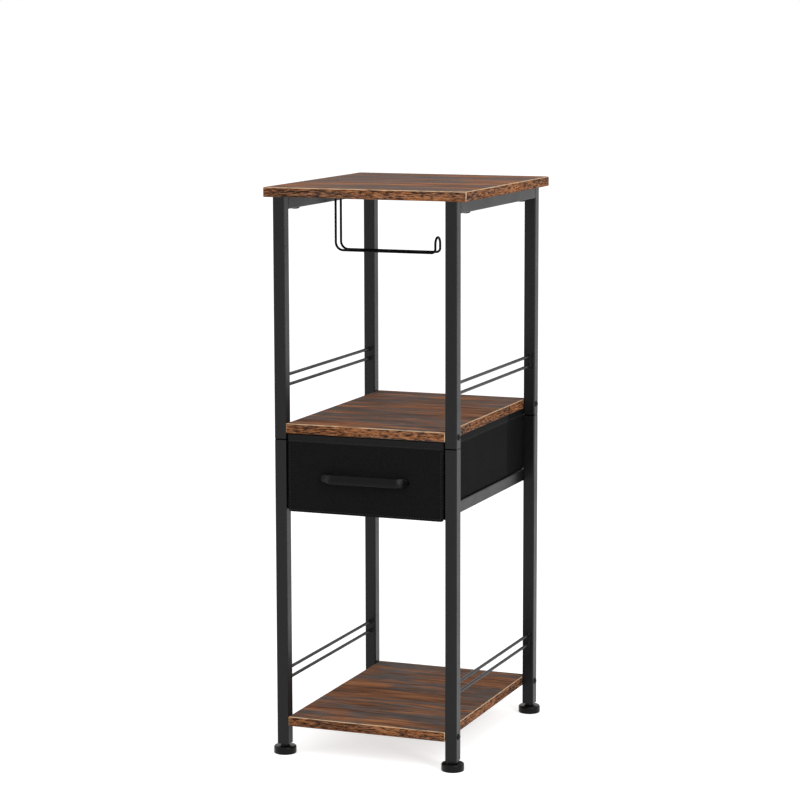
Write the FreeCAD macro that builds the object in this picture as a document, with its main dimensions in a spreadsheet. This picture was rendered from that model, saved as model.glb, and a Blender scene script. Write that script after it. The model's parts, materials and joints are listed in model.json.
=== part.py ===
import FreeCAD, Part
import os
import re
import Sketcher

# Open bathroom stand: a steel tube frame carries three boards, a fabric drawer under the middle board,
# a wire roll holder under the top board and four levelling feet.
# Millimetres, +Z up, the front faces -Y. The origin is on the floor, in the middle of the whole stand.

SIZES = {
    # frame of square tube
    "frame_width": 236,
    "frame_depth": 305,
    "overall_height": 700,
    "tube_size": 15,
    "tube_wall": 1.2,
    "tube_corner": 1.6,
    "tube_end_bevel": 0.7,
    "seam_height": 394,
    "coupling_reach": 35,
    "coupling_wall": 1.2,
    "plug_gap": 0.1,
    # boards
    "shelf_thickness": 12,
    "shelf_edge_bevel": 0.8,
    "shelf_side_gap": 0.15,
    "middle_shelf_height": 414,
    "bottom_shelf_height": 48,
    "top_side_overhang": 12,
    "top_front_overhang": 1,
    "top_back_overhang": 3,
    # guard rods
    "rod_diameter": 4,
    "rod_rise": 44,
    "rod_spacing": 12.5,
    # feet
    "pad_diameter": 28,
    "pad_height": 9.5,
    "pad_bevel": 1.5,
    "pad_sole": 2.5,
    "neck_diameter": 11.5,
    "neck_height": 3,
    "foot_gap": 0.2,
    "stud_diameter": 6,
    "stud_length": 22,
    "stud_head_diameter": 13,
    "stud_head_height": 3,
    "thread_gap": 0.05,
    "foot_plug_length": 16,
    # screws and threaded inserts
    "screw_diameter": 4,
    "screw_head_diameter": 7.5,
    "screw_head_height": 1.8,
    "screw_head_bevel": 0.8,
    "screw_hole_gap": 0.15,
    "insert_diameter": 7,
    "insert_length": 13,
    "insert_gap": 0.05,
    "top_screw_inset": 50,
    "top_screw_grip": 9,
    "top_screw_head_diameter": 12,
    "top_screw_head_height": 2.2,
    # roll holder
    "holder_wire": 3,
    "holder_wire_spacing": 17,
    "holder_wire_offset": 7,
    "holder_drop": 75,
    "holder_arm_length": 133,
    "holder_tip_rise": 19,
    "holder_drop_bend": 10,
    "holder_tip_bend": 5,
    "holder_plate_length": 26,
    "holder_plate_width": 32,
    "holder_plate_thickness": 2,
    "holder_plate_gap": 1.5,
    "holder_screw_inset": 7,
    "holder_screw_spacing": 18,
    # drawer
    "runner_underside": 307.5,
    "drawer_stop_gap": 0.3,
    "drawer_ride_gap": 0.3,
    "drawer_side_gap": 2.4,
    "drawer_top_gap": 1,
    "drawer_back_gap": 3,
    "drawer_front_height": 95.5,
    "drawer_front_thickness": 5,
    "drawer_front_corner": 6,
    "drawer_skin": 1,
    "drawer_wall": 2,
    "drawer_box_drop": 1,
    "drawer_box_corner": 4,
    "drawer_base_thickness": 3,
    "drawer_base_gap": 0.3,
    # bow handle
    "handle_height_above_runner": 42.5,
    "handle_width": 114,
    "handle_flat": 95,
    "handle_reach": 12,
    "handle_band": 3,
    "handle_height": 11,
    "handle_tip": 2,
    "handle_foot": 11,
    "handle_leg": 4,
    "handle_outer_bend": 6,
    "handle_inner_bend": 3,
    "handle_end_round": 4,
    "handle_edge_round": 0.8,
    "handle_screw_inset": 5.5,
    "handle_screw_grip": 4,
}

# Places worked out from the sizes, as formulas in size names.
PAD_PROUD = "((pad_diameter - tube_size) / 2)"
FRAME_Y = f"((handle_reach - {PAD_PROUD}) / 2)"
FRONT_Y = f"({FRAME_Y} - frame_depth / 2)"
LEG_X = "((frame_width - tube_size) / 2)"
LEG_Y = "((frame_depth - tube_size) / 2)"
LEG_END = "(pad_height + neck_height)"
FRAME_TOP = "(overall_height - shelf_thickness)"
RAIL_LENGTH = "(frame_depth - 2 * tube_size)"
PLUG_SIZE = "(tube_size - 2 * tube_wall - 2 * plug_gap)"
OPENING = "(frame_width - 2 * tube_size)"
SHELF_WIDTH = f"({OPENING} - 2 * shelf_side_gap)"
MIDDLE_SCREW_Z = "(middle_shelf_height - shelf_thickness / 2)"
BOTTOM_SCREW_Z = "(bottom_shelf_height - shelf_thickness / 2)"
SCREW_HOLE = "(screw_diameter + 2 * screw_hole_gap)"
TOP_SCREW_Y = "(frame_depth / 2 - top_screw_inset)"
HOLDER_PLATE_UNDER = f"({FRAME_TOP} - holder_plate_thickness)"
HOLDER_PLATE_X = f"(-{OPENING} / 2 + holder_plate_gap + holder_plate_length / 2)"
HOLDER_SCREW_X = "(holder_plate_length / 2 - holder_screw_inset)"
RUNNER_TOP = "(runner_underside + tube_size)"
DRAWER_FRONT_WIDTH = f"({OPENING} - 2 * drawer_side_gap)"
DRAWER_FRONT_TOP = "(middle_shelf_height - shelf_thickness - drawer_top_gap)"
DRAWER_FRONT_Z = f"({DRAWER_FRONT_TOP} - drawer_front_height / 2)"
DRAWER_BOX_FLOOR = f"({RUNNER_TOP} + drawer_ride_gap)"
DRAWER_BOX_HEIGHT = f"({DRAWER_FRONT_TOP} - drawer_box_drop - {DRAWER_BOX_FLOOR})"
DRAWER_BOX_DEPTH = "(frame_depth - drawer_front_thickness - drawer_back_gap)"
DRAWER_BOX_Y = f"({FRONT_Y} + drawer_front_thickness + {DRAWER_BOX_DEPTH} / 2)"
HANDLE_Z = "(runner_underside + handle_height_above_runner)"
HANDLE_SCREW_X = "(handle_width / 2 - handle_screw_inset)"

# The four corners, as the signs of their X and Y.
CORNERS = {"front_left": (-1, -1), "front_right": (1, -1), "back_left": (-1, 1), "back_right": (1, 1)}
SIDES = {"left": -1, "right": 1}

doc = FreeCAD.newDocument("BathroomStand")
sheet = doc.addObject("Spreadsheet::Sheet", "Sizes")
for row, (alias, size) in enumerate(SIZES.items(), start=1):
    sheet.set(f"A{row}", alias)
    sheet.set(f"B{row}", str(size))
    sheet.setAlias(f"B{row}", alias)
doc.recompute()

nodes = []


def sized(formula):
    """Turn a formula in size names into an expression on the sheet's cells."""
    return re.sub(r"[a-z_]+", lambda word: "Sizes." + word[0] if word[0] in SIZES else word[0], str(formula))


def value(formula):
    """The number that a formula in size names gives."""
    return float(sheet.evalExpression(sized(formula)))


def new_body(label):
    body = doc.addObject("PartDesign::Body", label)
    body.Label = label
    return body


def node(piece):
    """Enter a piece in the list of named sub-parts."""
    nodes.append(piece)
    return piece


def place(piece, x, y, z, axis=None, angle=0):
    """Stand a piece at a point given by three formulas, turned about an axis."""
    if axis:
        piece.Placement = FreeCAD.Placement(FreeCAD.Vector(), FreeCAD.Rotation(FreeCAD.Vector(*axis), angle))
    for name, formula in zip("xyz", (x, y, z)):
        piece.setExpression(f"Placement.Base.{name}", sized(formula))
    return piece


def sketch_on(body, role, offset=None):
    """A sketch on one of the body's own planes, moved along its normal by a formula."""
    sketch = body.newObject("Sketcher::SketchObject", "sketch")
    plane = next(feature for feature in body.Origin.OriginFeatures if feature.Role == role)
    sketch.AttachmentSupport = (plane, [""])
    sketch.MapMode = "FlatFace"
    if offset:
        sketch.setExpression("AttachmentOffset.Base.z", sized(offset))
    return sketch


def fix(sketch, constraint, formula):
    """Add a dimension and tie it to its formula."""
    index = sketch.addConstraint(constraint)
    sketch.setExpression(f"Constraints[{index}]", sized(formula))


def draw_outline(sketch, corners):
    """Draw a closed outline of straight lines through corners given as pairs of formulas."""
    points = [FreeCAD.Vector(value(x), value(y), 0) for x, y in corners]
    first = sketch.GeometryCount
    count = len(points)
    for index in range(count):
        sketch.addGeometry(Part.LineSegment(points[index], points[(index + 1) % count]))
    for index in range(count):
        following = first + (index + 1) % count
        sketch.addConstraint(Sketcher.Constraint("Coincident", first + index, 2, following, 1))
    for index, (x, y) in enumerate(corners):
        fix(sketch, Sketcher.Constraint("DistanceX", -1, 1, first + index, 1, points[index].x), x)
        fix(sketch, Sketcher.Constraint("DistanceY", -1, 1, first + index, 1, points[index].y), y)


def draw_rectangle(sketch, width, height, x="0", y="0"):
    """Draw a rectangle about a centre."""
    left, right = f"{x} - {width} / 2", f"{x} + {width} / 2"
    low, high = f"{y} - {height} / 2", f"{y} + {height} / 2"
    draw_outline(sketch, [(left, low), (right, low), (right, high), (left, high)])


def draw_circle(sketch, diameter, x="0", y="0"):
    """Draw a circle about a centre."""
    centre = FreeCAD.Vector(value(x), value(y), 0)
    circle = sketch.addGeometry(Part.Circle(centre, FreeCAD.Vector(0, 0, 1), value(diameter) / 2))
    fix(sketch, Sketcher.Constraint("DistanceX", -1, 1, circle, 3, centre.x), x)
    fix(sketch, Sketcher.Constraint("DistanceY", -1, 1, circle, 3, centre.y), y)
    fix(sketch, Sketcher.Constraint("Diameter", circle, value(diameter)), diameter)


def pad(body, sketch, length, side="Symmetric", back=False):
    """Raise a sketch into a solid."""
    feature = body.newObject("PartDesign::Pad", "pad")
    feature.Profile = sketch
    feature.SideType = side
    feature.Reversed = back
    feature.setExpression("Length", sized(length))
    doc.recompute()
    return feature


def pocket(body, sketch, depth=None, back=False):
    """Cut a sketch out of the solid, to a depth on one side or right through on both."""
    before = body.Tip.Shape.Volume
    feature = body.newObject("PartDesign::Pocket", "pocket")
    feature.Profile = sketch
    feature.Reversed = back
    if depth:
        feature.setExpression("Length", sized(depth))
    else:
        feature.SideType = "Symmetric"
        feature.Type = "ThroughAll"
    doc.recompute()
    if feature.Shape.Volume > before - 1e-3:
        raise RuntimeError(f"{body.Label}: a pocket cut nothing")
    return feature


def revolve(body, sketch):
    """Turn a half section about the sketch's upright axis."""
    feature = body.newObject("PartDesign::Revolution", "revolution")
    feature.Profile = sketch
    feature.ReferenceAxis = (sketch, ["V_Axis"])
    feature.Angle = 360
    doc.recompute()
    return feature


def dress_edges(body, kind, size, chosen):
    """Round (Fillet) or bevel (Chamfer) the edges of the solid that a test chooses."""
    base = body.Tip
    names = [f"Edge{number}" for number, edge in enumerate(base.Shape.Edges, start=1) if chosen(edge)]
    if not names:
        raise RuntimeError(f"{body.Label}: no edge to dress")
    feature = body.newObject(f"PartDesign::{kind}", kind.lower())
    feature.Base = (base, names)
    feature.setExpression("Radius" if kind == "Fillet" else "Size", sized(size))
    doc.recompute()
    return feature


def runs_along(edge, direction):
    """True for a straight edge parallel to a direction."""
    if not isinstance(edge.Curve, Part.Line):
        return False
    return abs(abs(edge.tangentAt(edge.FirstParameter).dot(FreeCAD.Vector(*direction))) - 1) < 1e-6


def lies_at(edge, axis, level):
    """True for an edge whose ends both have one coordinate at a level."""
    return all(abs(getattr(vertex.Point, axis) - level) < 1e-4 for vertex in edge.Vertexes)


def group(label, pieces):
    """One sub-part made of several like pieces."""
    compound = doc.addObject("Part::Compound", label)
    compound.Label = label
    compound.Links = pieces
    return node(compound)


def square_tube(label, role, along, length, size="tube_size", wall="tube_wall", corner="tube_corner"):
    """A square tube, centred on its body's origin and running square to a plane."""
    body = new_body(label)
    section = sketch_on(body, role)
    draw_rectangle(section, size, size)
    pad(body, section, length)
    dress_edges(body, "Fillet", corner, lambda edge: runs_along(edge, along))
    bore = sketch_on(body, role)
    draw_rectangle(bore, f"({size} - 2 * {wall})", f"({size} - 2 * {wall})")
    pocket(body, bore)
    return body


def drill(body, role, diameter, places):
    """Drill round holes right through a body, square to a plane."""
    sketch = sketch_on(body, role)
    for x, y in places:
        draw_circle(sketch, diameter, x, y)
    return pocket(body, sketch)


def bevel_tube_end(body, level):
    """Ease the outer edge of a tube's end."""
    reach = value("(tube_size - tube_wall) / 2")
    height = value(level)

    def outer(edge):
        corners = [max(abs(vertex.X), abs(vertex.Y)) for vertex in edge.Vertexes]
        return lies_at(edge, "z", height) and min(corners) > reach

    return dress_edges(body, "Chamfer", "tube_end_bevel", outer)


def leg(label, corner, low, high, screw_z, seam_side):
    """One length of a leg, with the cross hole for its board's screw and an eased end at the seam."""
    middle = f"(({low} + {high}) / 2)"
    length = f"({high} - {low})"
    body = square_tube(label, "XY_Plane", (0, 0, 1), length)
    drill(body, "YZ_Plane", SCREW_HOLE, [("0", f"{screw_z} - {middle}")])
    bevel_tube_end(body, f"{seam_side} * {length} / 2")
    side, end = CORNERS[corner]
    place(body, f"{side} * {LEG_X}", f"{FRAME_Y} + {end} * {LEG_Y}", middle)
    return node(body)


def coupling(corner):
    """A stub of smaller tube that joins the two lengths of a leg, held by the middle board's screw."""
    body = square_tube(f"leg_coupling_{corner}", "XY_Plane", (0, 0, 1), "(2 * coupling_reach)",
                       PLUG_SIZE, "coupling_wall", "(tube_corner / 2)")
    drill(body, "YZ_Plane", SCREW_HOLE, [("0", f"{MIDDLE_SCREW_Z} - seam_height")])
    side, end = CORNERS[corner]
    place(body, f"{side} * {LEG_X}", f"{FRAME_Y} + {end} * {LEG_Y}", "seam_height")
    return node(body)


def top_rail(name, side):
    """A tube between the leg tops, drilled for the screws of the top board."""
    body = square_tube(f"top_rail_{name}", "XZ_Plane", (0, 1, 0), RAIL_LENGTH)
    drill(body, "XY_Plane", SCREW_HOLE, [("0", f"-{TOP_SCREW_Y}"), ("0", TOP_SCREW_Y)])
    place(body, f"{side} * {LEG_X}", FRAME_Y, f"{FRAME_TOP} - tube_size / 2")
    return node(body)


def drawer_runner(name, side):
    """A tube inside the legs that the drawer slides on; its front end stops the drawer front."""
    setback = "(drawer_front_thickness + drawer_stop_gap)"
    body = square_tube(f"drawer_runner_{name}", "XZ_Plane", (0, 1, 0), f"(frame_depth - {setback})")
    place(body, f"{side} * ({OPENING} - tube_size) / 2", f"{FRAME_Y} + {setback} / 2",
          "runner_underside + tube_size / 2")
    return node(body)


def guard_rod(label, side, height):
    """A round rod between the front and back leg of one side."""
    body = new_body(label)
    section = sketch_on(body, "XZ_Plane")
    draw_circle(section, "rod_diameter")
    pad(body, section, RAIL_LENGTH)
    place(body, f"{side} * {LEG_X}", FRAME_Y, height)
    return node(body)


def foot_plug(corner):
    """The threaded plug in a leg's lower end."""
    body = new_body(f"foot_plug_{corner}")
    section = sketch_on(body, "XY_Plane")
    draw_rectangle(section, PLUG_SIZE, PLUG_SIZE)
    pad(body, section, "foot_plug_length", "One side")
    drill(body, "XY_Plane", "(stud_diameter + 2 * thread_gap)", [("0", "0")])
    side, end = CORNERS[corner]
    place(body, f"{side} * {LEG_X}", f"{FRAME_Y} + {end} * {LEG_Y}", LEG_END)
    return node(body)


def foot_stud(corner):
    """The steel stud of a levelling foot, with the round head that is moulded into the pad."""
    body = new_body(f"foot_stud_{corner}")
    section = sketch_on(body, "XZ_Plane")
    top = f"({LEG_END} - pad_sole + stud_length)"
    draw_outline(section, [
        ("0", "0"),
        ("stud_head_diameter / 2", "0"),
        ("stud_head_diameter / 2", "stud_head_height"),
        ("stud_diameter / 2", "stud_head_height"),
        ("stud_diameter / 2", top),
        ("0", top),
    ])
    revolve(body, section)
    side, end = CORNERS[corner]
    place(body, f"{side} * {LEG_X}", f"{FRAME_Y} + {end} * {LEG_Y}", "pad_sole")
    return node(body)


def foot_pad(corner):
    """The round pad of a levelling foot: bevelled rim, narrow neck, and the seat of the stud's head inside."""
    body = new_body(f"foot_pad_{corner}")
    section = sketch_on(body, "XZ_Plane")
    head_top = "(pad_sole + stud_head_height)"
    neck_top = f"({LEG_END} - foot_gap)"
    draw_outline(section, [
        ("0", "0"),
        ("pad_diameter / 2 - pad_bevel / 2", "0"),
        ("pad_diameter / 2", "pad_bevel / 2"),
        ("pad_diameter / 2", "pad_height - pad_bevel"),
        ("pad_diameter / 2 - pad_bevel", "pad_height"),
        ("neck_diameter / 2", "pad_height"),
        ("neck_diameter / 2", neck_top),
        ("stud_diameter / 2", neck_top),
        ("stud_diameter / 2", head_top),
        ("stud_head_diameter / 2", head_top),
        ("stud_head_diameter / 2", "pad_sole"),
        ("0", "pad_sole"),
    ])
    revolve(body, section)
    side, end = CORNERS[corner]
    place(body, f"{side} * {LEG_X}", f"{FRAME_Y} + {end} * {LEG_Y}", "0")
    return node(body)


def board(label, width, depth):
    """A flat board standing on its body's XY plane, with all its edges eased."""
    body = new_body(label)
    section = sketch_on(body, "XY_Plane")
    draw_rectangle(section, width, depth)
    pad(body, section, "shelf_thickness", "One side")
    dress_edges(body, "Chamfer", "shelf_edge_bevel", lambda edge: True)
    return body


def top_shelf():
    """The top board, lying on the legs and rails, with blind holes for the screws from below."""
    depth = "(frame_depth + top_front_overhang + top_back_overhang)"
    shift = "((top_back_overhang - top_front_overhang) / 2)"
    body = board("top_shelf", "(frame_width + 2 * top_side_overhang)", depth)
    holes = sketch_on(body, "XY_Plane")
    for side, end in CORNERS.values():
        draw_circle(holes, SCREW_HOLE, f"{side} * {LEG_X}", f"{end} * {TOP_SCREW_Y} - {shift}")
    for end in (-1, 1):
        draw_circle(holes, SCREW_HOLE, f"{HOLDER_PLATE_X} + {HOLDER_SCREW_X}",
                    f"{end} * holder_screw_spacing / 2 - {shift}")
    pocket(body, holes, "(top_screw_grip + screw_hole_gap)", back=True)
    place(body, "0", f"{FRAME_Y} + {shift}", FRAME_TOP)
    return node(body)


def inner_shelf(label, top):
    """A board between the legs, with blind holes in its ends for the threaded inserts."""
    body = board(label, SHELF_WIDTH, "frame_depth")
    for side in SIDES.values():
        holes = sketch_on(body, "YZ_Plane", f"{side} * {SHELF_WIDTH} / 2")
        for end in (-1, 1):
            draw_circle(holes, "(insert_diameter + 2 * insert_gap)", f"{end} * {LEG_Y}", "shelf_thickness / 2")
        pocket(body, holes, "insert_length", back=side < 0)
    place(body, "0", FRAME_Y, f"{top} - shelf_thickness")
    return node(body)


def pan_screw(label, length, head_diameter="screw_head_diameter", head_height="screw_head_height"):
    """A pan head screw along its body's Z, the underside of the head at the origin."""
    body = new_body(label)
    section = sketch_on(body, "XZ_Plane")
    draw_outline(section, [
        ("0", f"-{length}"),
        ("screw_diameter / 2", f"-{length}"),
        ("screw_diameter / 2", "0"),
        (f"{head_diameter} / 2", "0"),
        (f"{head_diameter} / 2", f"{head_height} - screw_head_bevel"),
        (f"{head_diameter} / 2 - screw_head_bevel", head_height),
        ("0", head_height),
    ])
    revolve(body, section)
    return body


def shelf_screws(label, height):
    """Screws through the legs into the ends of a board, one at each corner."""
    screws = []
    for corner, (side, end) in CORNERS.items():
        screw = pan_screw(f"{label}_{corner}", "(tube_size + insert_length)")
        place(screw, f"{side} * frame_width / 2", f"{FRAME_Y} + {end} * {LEG_Y}", height, (0, 1, 0), 90 * side)
        screws.append(screw)
    return group(label, screws)


def shelf_inserts(label, height):
    """Threaded inserts in the ends of a board, one at each corner."""
    inserts = []
    for corner, (side, end) in CORNERS.items():
        insert = new_body(f"{label}_{corner}")
        section = sketch_on(insert, "YZ_Plane")
        draw_circle(section, "insert_diameter")
        draw_circle(section, SCREW_HOLE)
        pad(insert, section, "insert_length")
        place(insert, f"{side} * ({SHELF_WIDTH} - insert_length) / 2", f"{FRAME_Y} + {end} * {LEG_Y}", height)
        inserts.append(insert)
    return group(label, inserts)


def top_shelf_screws():
    """Screws from below through the top rails into the top board."""
    screws = []
    for corner, (side, end) in CORNERS.items():
        screw = pan_screw(f"top_shelf_screws_{corner}", "(tube_size + top_screw_grip)",
                          "top_screw_head_diameter", "top_screw_head_height")
        place(screw, f"{side} * {LEG_X}", f"{FRAME_Y} + {end} * {TOP_SCREW_Y}", f"{FRAME_TOP} - tube_size",
              (1, 0, 0), 180)
        screws.append(screw)
    return group("top_shelf_screws", screws)


def roll_holder_plate():
    """The plate under the top board that carries the roll holder's wire."""
    body = new_body("roll_holder_plate")
    section = sketch_on(body, "XY_Plane")
    draw_rectangle(section, "holder_plate_length", "holder_plate_width")
    pad(body, section, "holder_plate_thickness", "One side")
    half = "holder_screw_spacing / 2"
    drill(body, "XY_Plane", SCREW_HOLE, [(HOLDER_SCREW_X, f"-{half}"), (HOLDER_SCREW_X, half)])
    place(body, HOLDER_PLATE_X, FRAME_Y, HOLDER_PLATE_UNDER)
    return node(body)


def roll_holder_screws():
    """The two screws of the roll holder's plate."""
    screws = []
    for name, end in (("front", -1), ("back", 1)):
        screw = pan_screw(f"roll_holder_screws_{name}", "(holder_plate_thickness + top_screw_grip)")
        place(screw, f"{HOLDER_PLATE_X} + {HOLDER_SCREW_X}", f"{FRAME_Y} + {end} * holder_screw_spacing / 2",
              HOLDER_PLATE_UNDER, (1, 0, 0), 180)
        screws.append(screw)
    return group("roll_holder_screws", screws)


def quarter_bend(start, corner, end, radius):
    """The arc that rounds a square corner between two runs, with the points where it meets them."""
    into = (corner - start).normalize()
    out = (end - corner).normalize()
    first = corner - into * radius
    last = corner + out * radius
    centre = first + out * radius
    middle = centre + (corner - centre).normalize() * radius
    return first, Part.Arc(first, middle, last), last


def roll_holder_wire():
    """One hairpin of wire: down from the plate, along the arm, up at the tip and back the same way.

    The tip is closed by a half circle as wide as the two wires stand apart.
    """
    half = value("holder_wire_spacing") / 2
    middle_y = value(FRAME_Y)
    drop_x = value(f"-{OPENING} / 2 + holder_wire_offset")
    tip_x = drop_x + value("holder_arm_length")
    top_z = value(HOLDER_PLATE_UNDER)
    arm_z = value(f"{FRAME_TOP} - holder_drop")
    turn_z = arm_z + value("holder_tip_rise") - half

    def side_run(y):
        """The edges of one side, from the plate to the start of the tip's half circle."""
        top = FreeCAD.Vector(drop_x, y, top_z)
        heel = FreeCAD.Vector(drop_x, y, arm_z)
        toe = FreeCAD.Vector(tip_x, y, arm_z)
        tip = FreeCAD.Vector(tip_x, y, turn_z)
        heel_in, heel_arc, heel_out = quarter_bend(top, heel, toe, value("holder_drop_bend"))
        toe_in, toe_arc, toe_out = quarter_bend(heel, toe, tip, value("holder_tip_bend"))
        lines = [Part.LineSegment(top, heel_in), heel_arc, Part.LineSegment(heel_out, toe_in), toe_arc]
        if (tip - toe_out).Length > 1e-6:
            lines.append(Part.LineSegment(toe_out, tip))
        return [line.toShape() for line in lines], tip

    front, front_tip = side_run(middle_y - half)
    back, back_tip = side_run(middle_y + half)
    crown = FreeCAD.Vector(tip_x, middle_y, turn_z + half)
    loop = Part.Arc(front_tip, crown, back_tip).toShape()
    path = Part.Wire(Part.__sortEdges__(front + [loop] + back))
    start = front[0].Vertexes[0].Point
    section = Part.Wire(Part.makeCircle(value("holder_wire") / 2, start, FreeCAD.Vector(0, 0, 1)))
    wire = doc.addObject("Part::Feature", "roll_holder_wire")
    wire.Label = "roll_holder_wire"
    wire.Shape = path.makePipeShell([section], True, False)
    wire.Placement = FreeCAD.Placement()
    return node(wire)


def round_front_corners(body, width, height, radius):
    """Round the two lower corners of an upright panel."""
    low = -value(height) / 2
    side = value(width) / 2

    def lower_corner(edge):
        at_side = lies_at(edge, "x", side) or lies_at(edge, "x", -side)
        return runs_along(edge, (0, 1, 0)) and lies_at(edge, "z", low) and at_side

    return dress_edges(body, "Fillet", radius, lower_corner)


def drawer_front_cover():
    """The fabric over the drawer front: a tray that wraps the stiffening board, open at the back."""
    body = new_body("drawer_front_cover")
    section = sketch_on(body, "XZ_Plane")
    draw_rectangle(section, DRAWER_FRONT_WIDTH, "drawer_front_height")
    pad(body, section, "drawer_front_thickness", "One side")
    seat_width = f"({DRAWER_FRONT_WIDTH} - 2 * drawer_skin)"
    seat_height = "(drawer_front_height - 2 * drawer_skin)"
    seat = sketch_on(body, "XZ_Plane")
    draw_rectangle(seat, seat_width, seat_height)
    pocket(body, seat, "(drawer_front_thickness - drawer_skin)", back=True)
    round_front_corners(body, seat_width, seat_height, "(drawer_front_corner - drawer_skin)")
    round_front_corners(body, DRAWER_FRONT_WIDTH, "drawer_front_height", "drawer_front_corner")
    lift = f"{HANDLE_Z} - {DRAWER_FRONT_Z}"
    drill(body, "XZ_Plane", SCREW_HOLE, [(f"-{HANDLE_SCREW_X}", lift), (HANDLE_SCREW_X, lift)])
    place(body, "0", f"{FRONT_Y} + drawer_front_thickness", DRAWER_FRONT_Z)
    return node(body)


def drawer_front_board():
    """The stiffening board inside the drawer front."""
    body = new_body("drawer_front_board")
    width = f"({DRAWER_FRONT_WIDTH} - 2 * drawer_skin)"
    height = "(drawer_front_height - 2 * drawer_skin)"
    section = sketch_on(body, "XZ_Plane")
    draw_rectangle(section, width, height)
    pad(body, section, "(drawer_front_thickness - drawer_skin)", "One side")
    round_front_corners(body, width, height, "(drawer_front_corner - drawer_skin)")
    lift = f"{HANDLE_Z} - {DRAWER_FRONT_Z}"
    drill(body, "XZ_Plane", SCREW_HOLE, [(f"-{HANDLE_SCREW_X}", lift), (HANDLE_SCREW_X, lift)])
    place(body, "0", f"{FRONT_Y} + drawer_front_thickness", DRAWER_FRONT_Z)
    return node(body)


def drawer_box():
    """The sewn fabric box of the drawer, open at the top, with rounded upright corners."""
    body = new_body("drawer_box")
    section = sketch_on(body, "XY_Plane")
    draw_rectangle(section, DRAWER_FRONT_WIDTH, DRAWER_BOX_DEPTH)
    pad(body, section, DRAWER_BOX_HEIGHT, "One side")
    dress_edges(body, "Fillet", "drawer_box_corner", lambda edge: runs_along(edge, (0, 0, 1)))
    inside = sketch_on(body, "XY_Plane", "drawer_wall")
    draw_rectangle(inside, f"({DRAWER_FRONT_WIDTH} - 2 * drawer_wall)", f"({DRAWER_BOX_DEPTH} - 2 * drawer_wall)")
    pocket(body, inside, DRAWER_BOX_HEIGHT, back=True)
    inner_side = value(f"({DRAWER_FRONT_WIDTH} - 2 * drawer_wall) / 2")

    def inner_corner(edge):
        at_side = lies_at(edge, "x", inner_side) or lies_at(edge, "x", -inner_side)
        return runs_along(edge, (0, 0, 1)) and at_side

    dress_edges(body, "Fillet", "(drawer_box_corner - drawer_wall)", inner_corner)
    holes = sketch_on(body, "XZ_Plane", f"{DRAWER_BOX_DEPTH} / 2")
    lift = f"{HANDLE_Z} - {DRAWER_BOX_FLOOR}"
    draw_circle(holes, SCREW_HOLE, f"-{HANDLE_SCREW_X}", lift)
    draw_circle(holes, SCREW_HOLE, HANDLE_SCREW_X, lift)
    pocket(body, holes, "(2 * drawer_wall)")
    place(body, "0", DRAWER_BOX_Y, DRAWER_BOX_FLOOR)
    return node(body)


def drawer_base_board():
    """The loose board that keeps the drawer's floor flat."""
    body = new_body("drawer_base_board")
    section = sketch_on(body, "XY_Plane")
    inset = "2 * (drawer_wall + drawer_base_gap)"
    draw_rectangle(section, f"({DRAWER_FRONT_WIDTH} - {inset})", f"({DRAWER_BOX_DEPTH} - {inset})")
    pad(body, section, "drawer_base_thickness", "One side")
    dress_edges(body, "Fillet", "(drawer_box_corner - drawer_wall)", lambda edge: runs_along(edge, (0, 0, 1)))
    place(body, "0", DRAWER_BOX_Y, f"{DRAWER_BOX_FLOOR} + drawer_wall")
    return node(body)


def drawer_handle():
    """The bow handle: a flat band that bends back at both ends into feet with rounded tips."""
    body = new_body("drawer_handle")
    plan = sketch_on(body, "XY_Plane")
    end = "handle_width / 2"
    bend = "handle_flat / 2"
    foot = "(handle_width / 2 - handle_foot)"
    inner = "(handle_flat / 2 - handle_leg)"
    gap = "(handle_reach - handle_band)"
    draw_outline(plan, [
        (end, "0"), (end, "-handle_tip"), (bend, "-handle_reach"),
        (f"-{bend}", "-handle_reach"), (f"-{end}", "-handle_tip"), (f"-{end}", "0"),
        (f"-{foot}", "0"), (f"-{inner}", f"-{gap}"), (inner, f"-{gap}"), (foot, "0"),
    ])
    pad(body, plan, "handle_height")
    reach, depth = -value("handle_reach"), -value(gap)
    upright = (0, 0, 1)
    dress_edges(body, "Fillet", "handle_outer_bend", lambda e: runs_along(e, upright) and lies_at(e, "y", reach))
    dress_edges(body, "Fillet", "handle_inner_bend", lambda e: runs_along(e, upright) and lies_at(e, "y", depth))
    tip = value(end)
    dress_edges(body, "Fillet", "handle_end_round",
                lambda e: runs_along(e, (0, 1, 0)) and (lies_at(e, "x", tip) or lies_at(e, "x", -tip)))
    top = value("handle_height") / 2

    def front_rim(edge):
        level = lies_at(edge, "z", top) or lies_at(edge, "z", -top)
        return level and lies_at(edge, "y", reach)

    dress_edges(body, "Fillet", "handle_edge_round", front_rim)
    holes = sketch_on(body, "XZ_Plane")
    draw_circle(holes, SCREW_HOLE, f"-{HANDLE_SCREW_X}", "0")
    draw_circle(holes, SCREW_HOLE, HANDLE_SCREW_X, "0")
    pocket(body, holes, "(handle_screw_grip + screw_hole_gap)", back=True)
    place(body, "0", FRONT_Y, HANDLE_Z)
    return node(body)


def drawer_handle_screws():
    """The two screws of the handle, driven from inside the drawer."""
    screws = []
    through = "(drawer_front_thickness + drawer_wall)"
    for name, side in SIDES.items():
        screw = pan_screw(f"drawer_handle_screws_{name}", f"({through} + handle_screw_grip)")
        place(screw, f"{side} * {HANDLE_SCREW_X}", f"{FRONT_Y} + {through}", HANDLE_Z, (1, 0, 0), -90)
        screws.append(screw)
    return group("drawer_handle_screws", screws)


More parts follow.
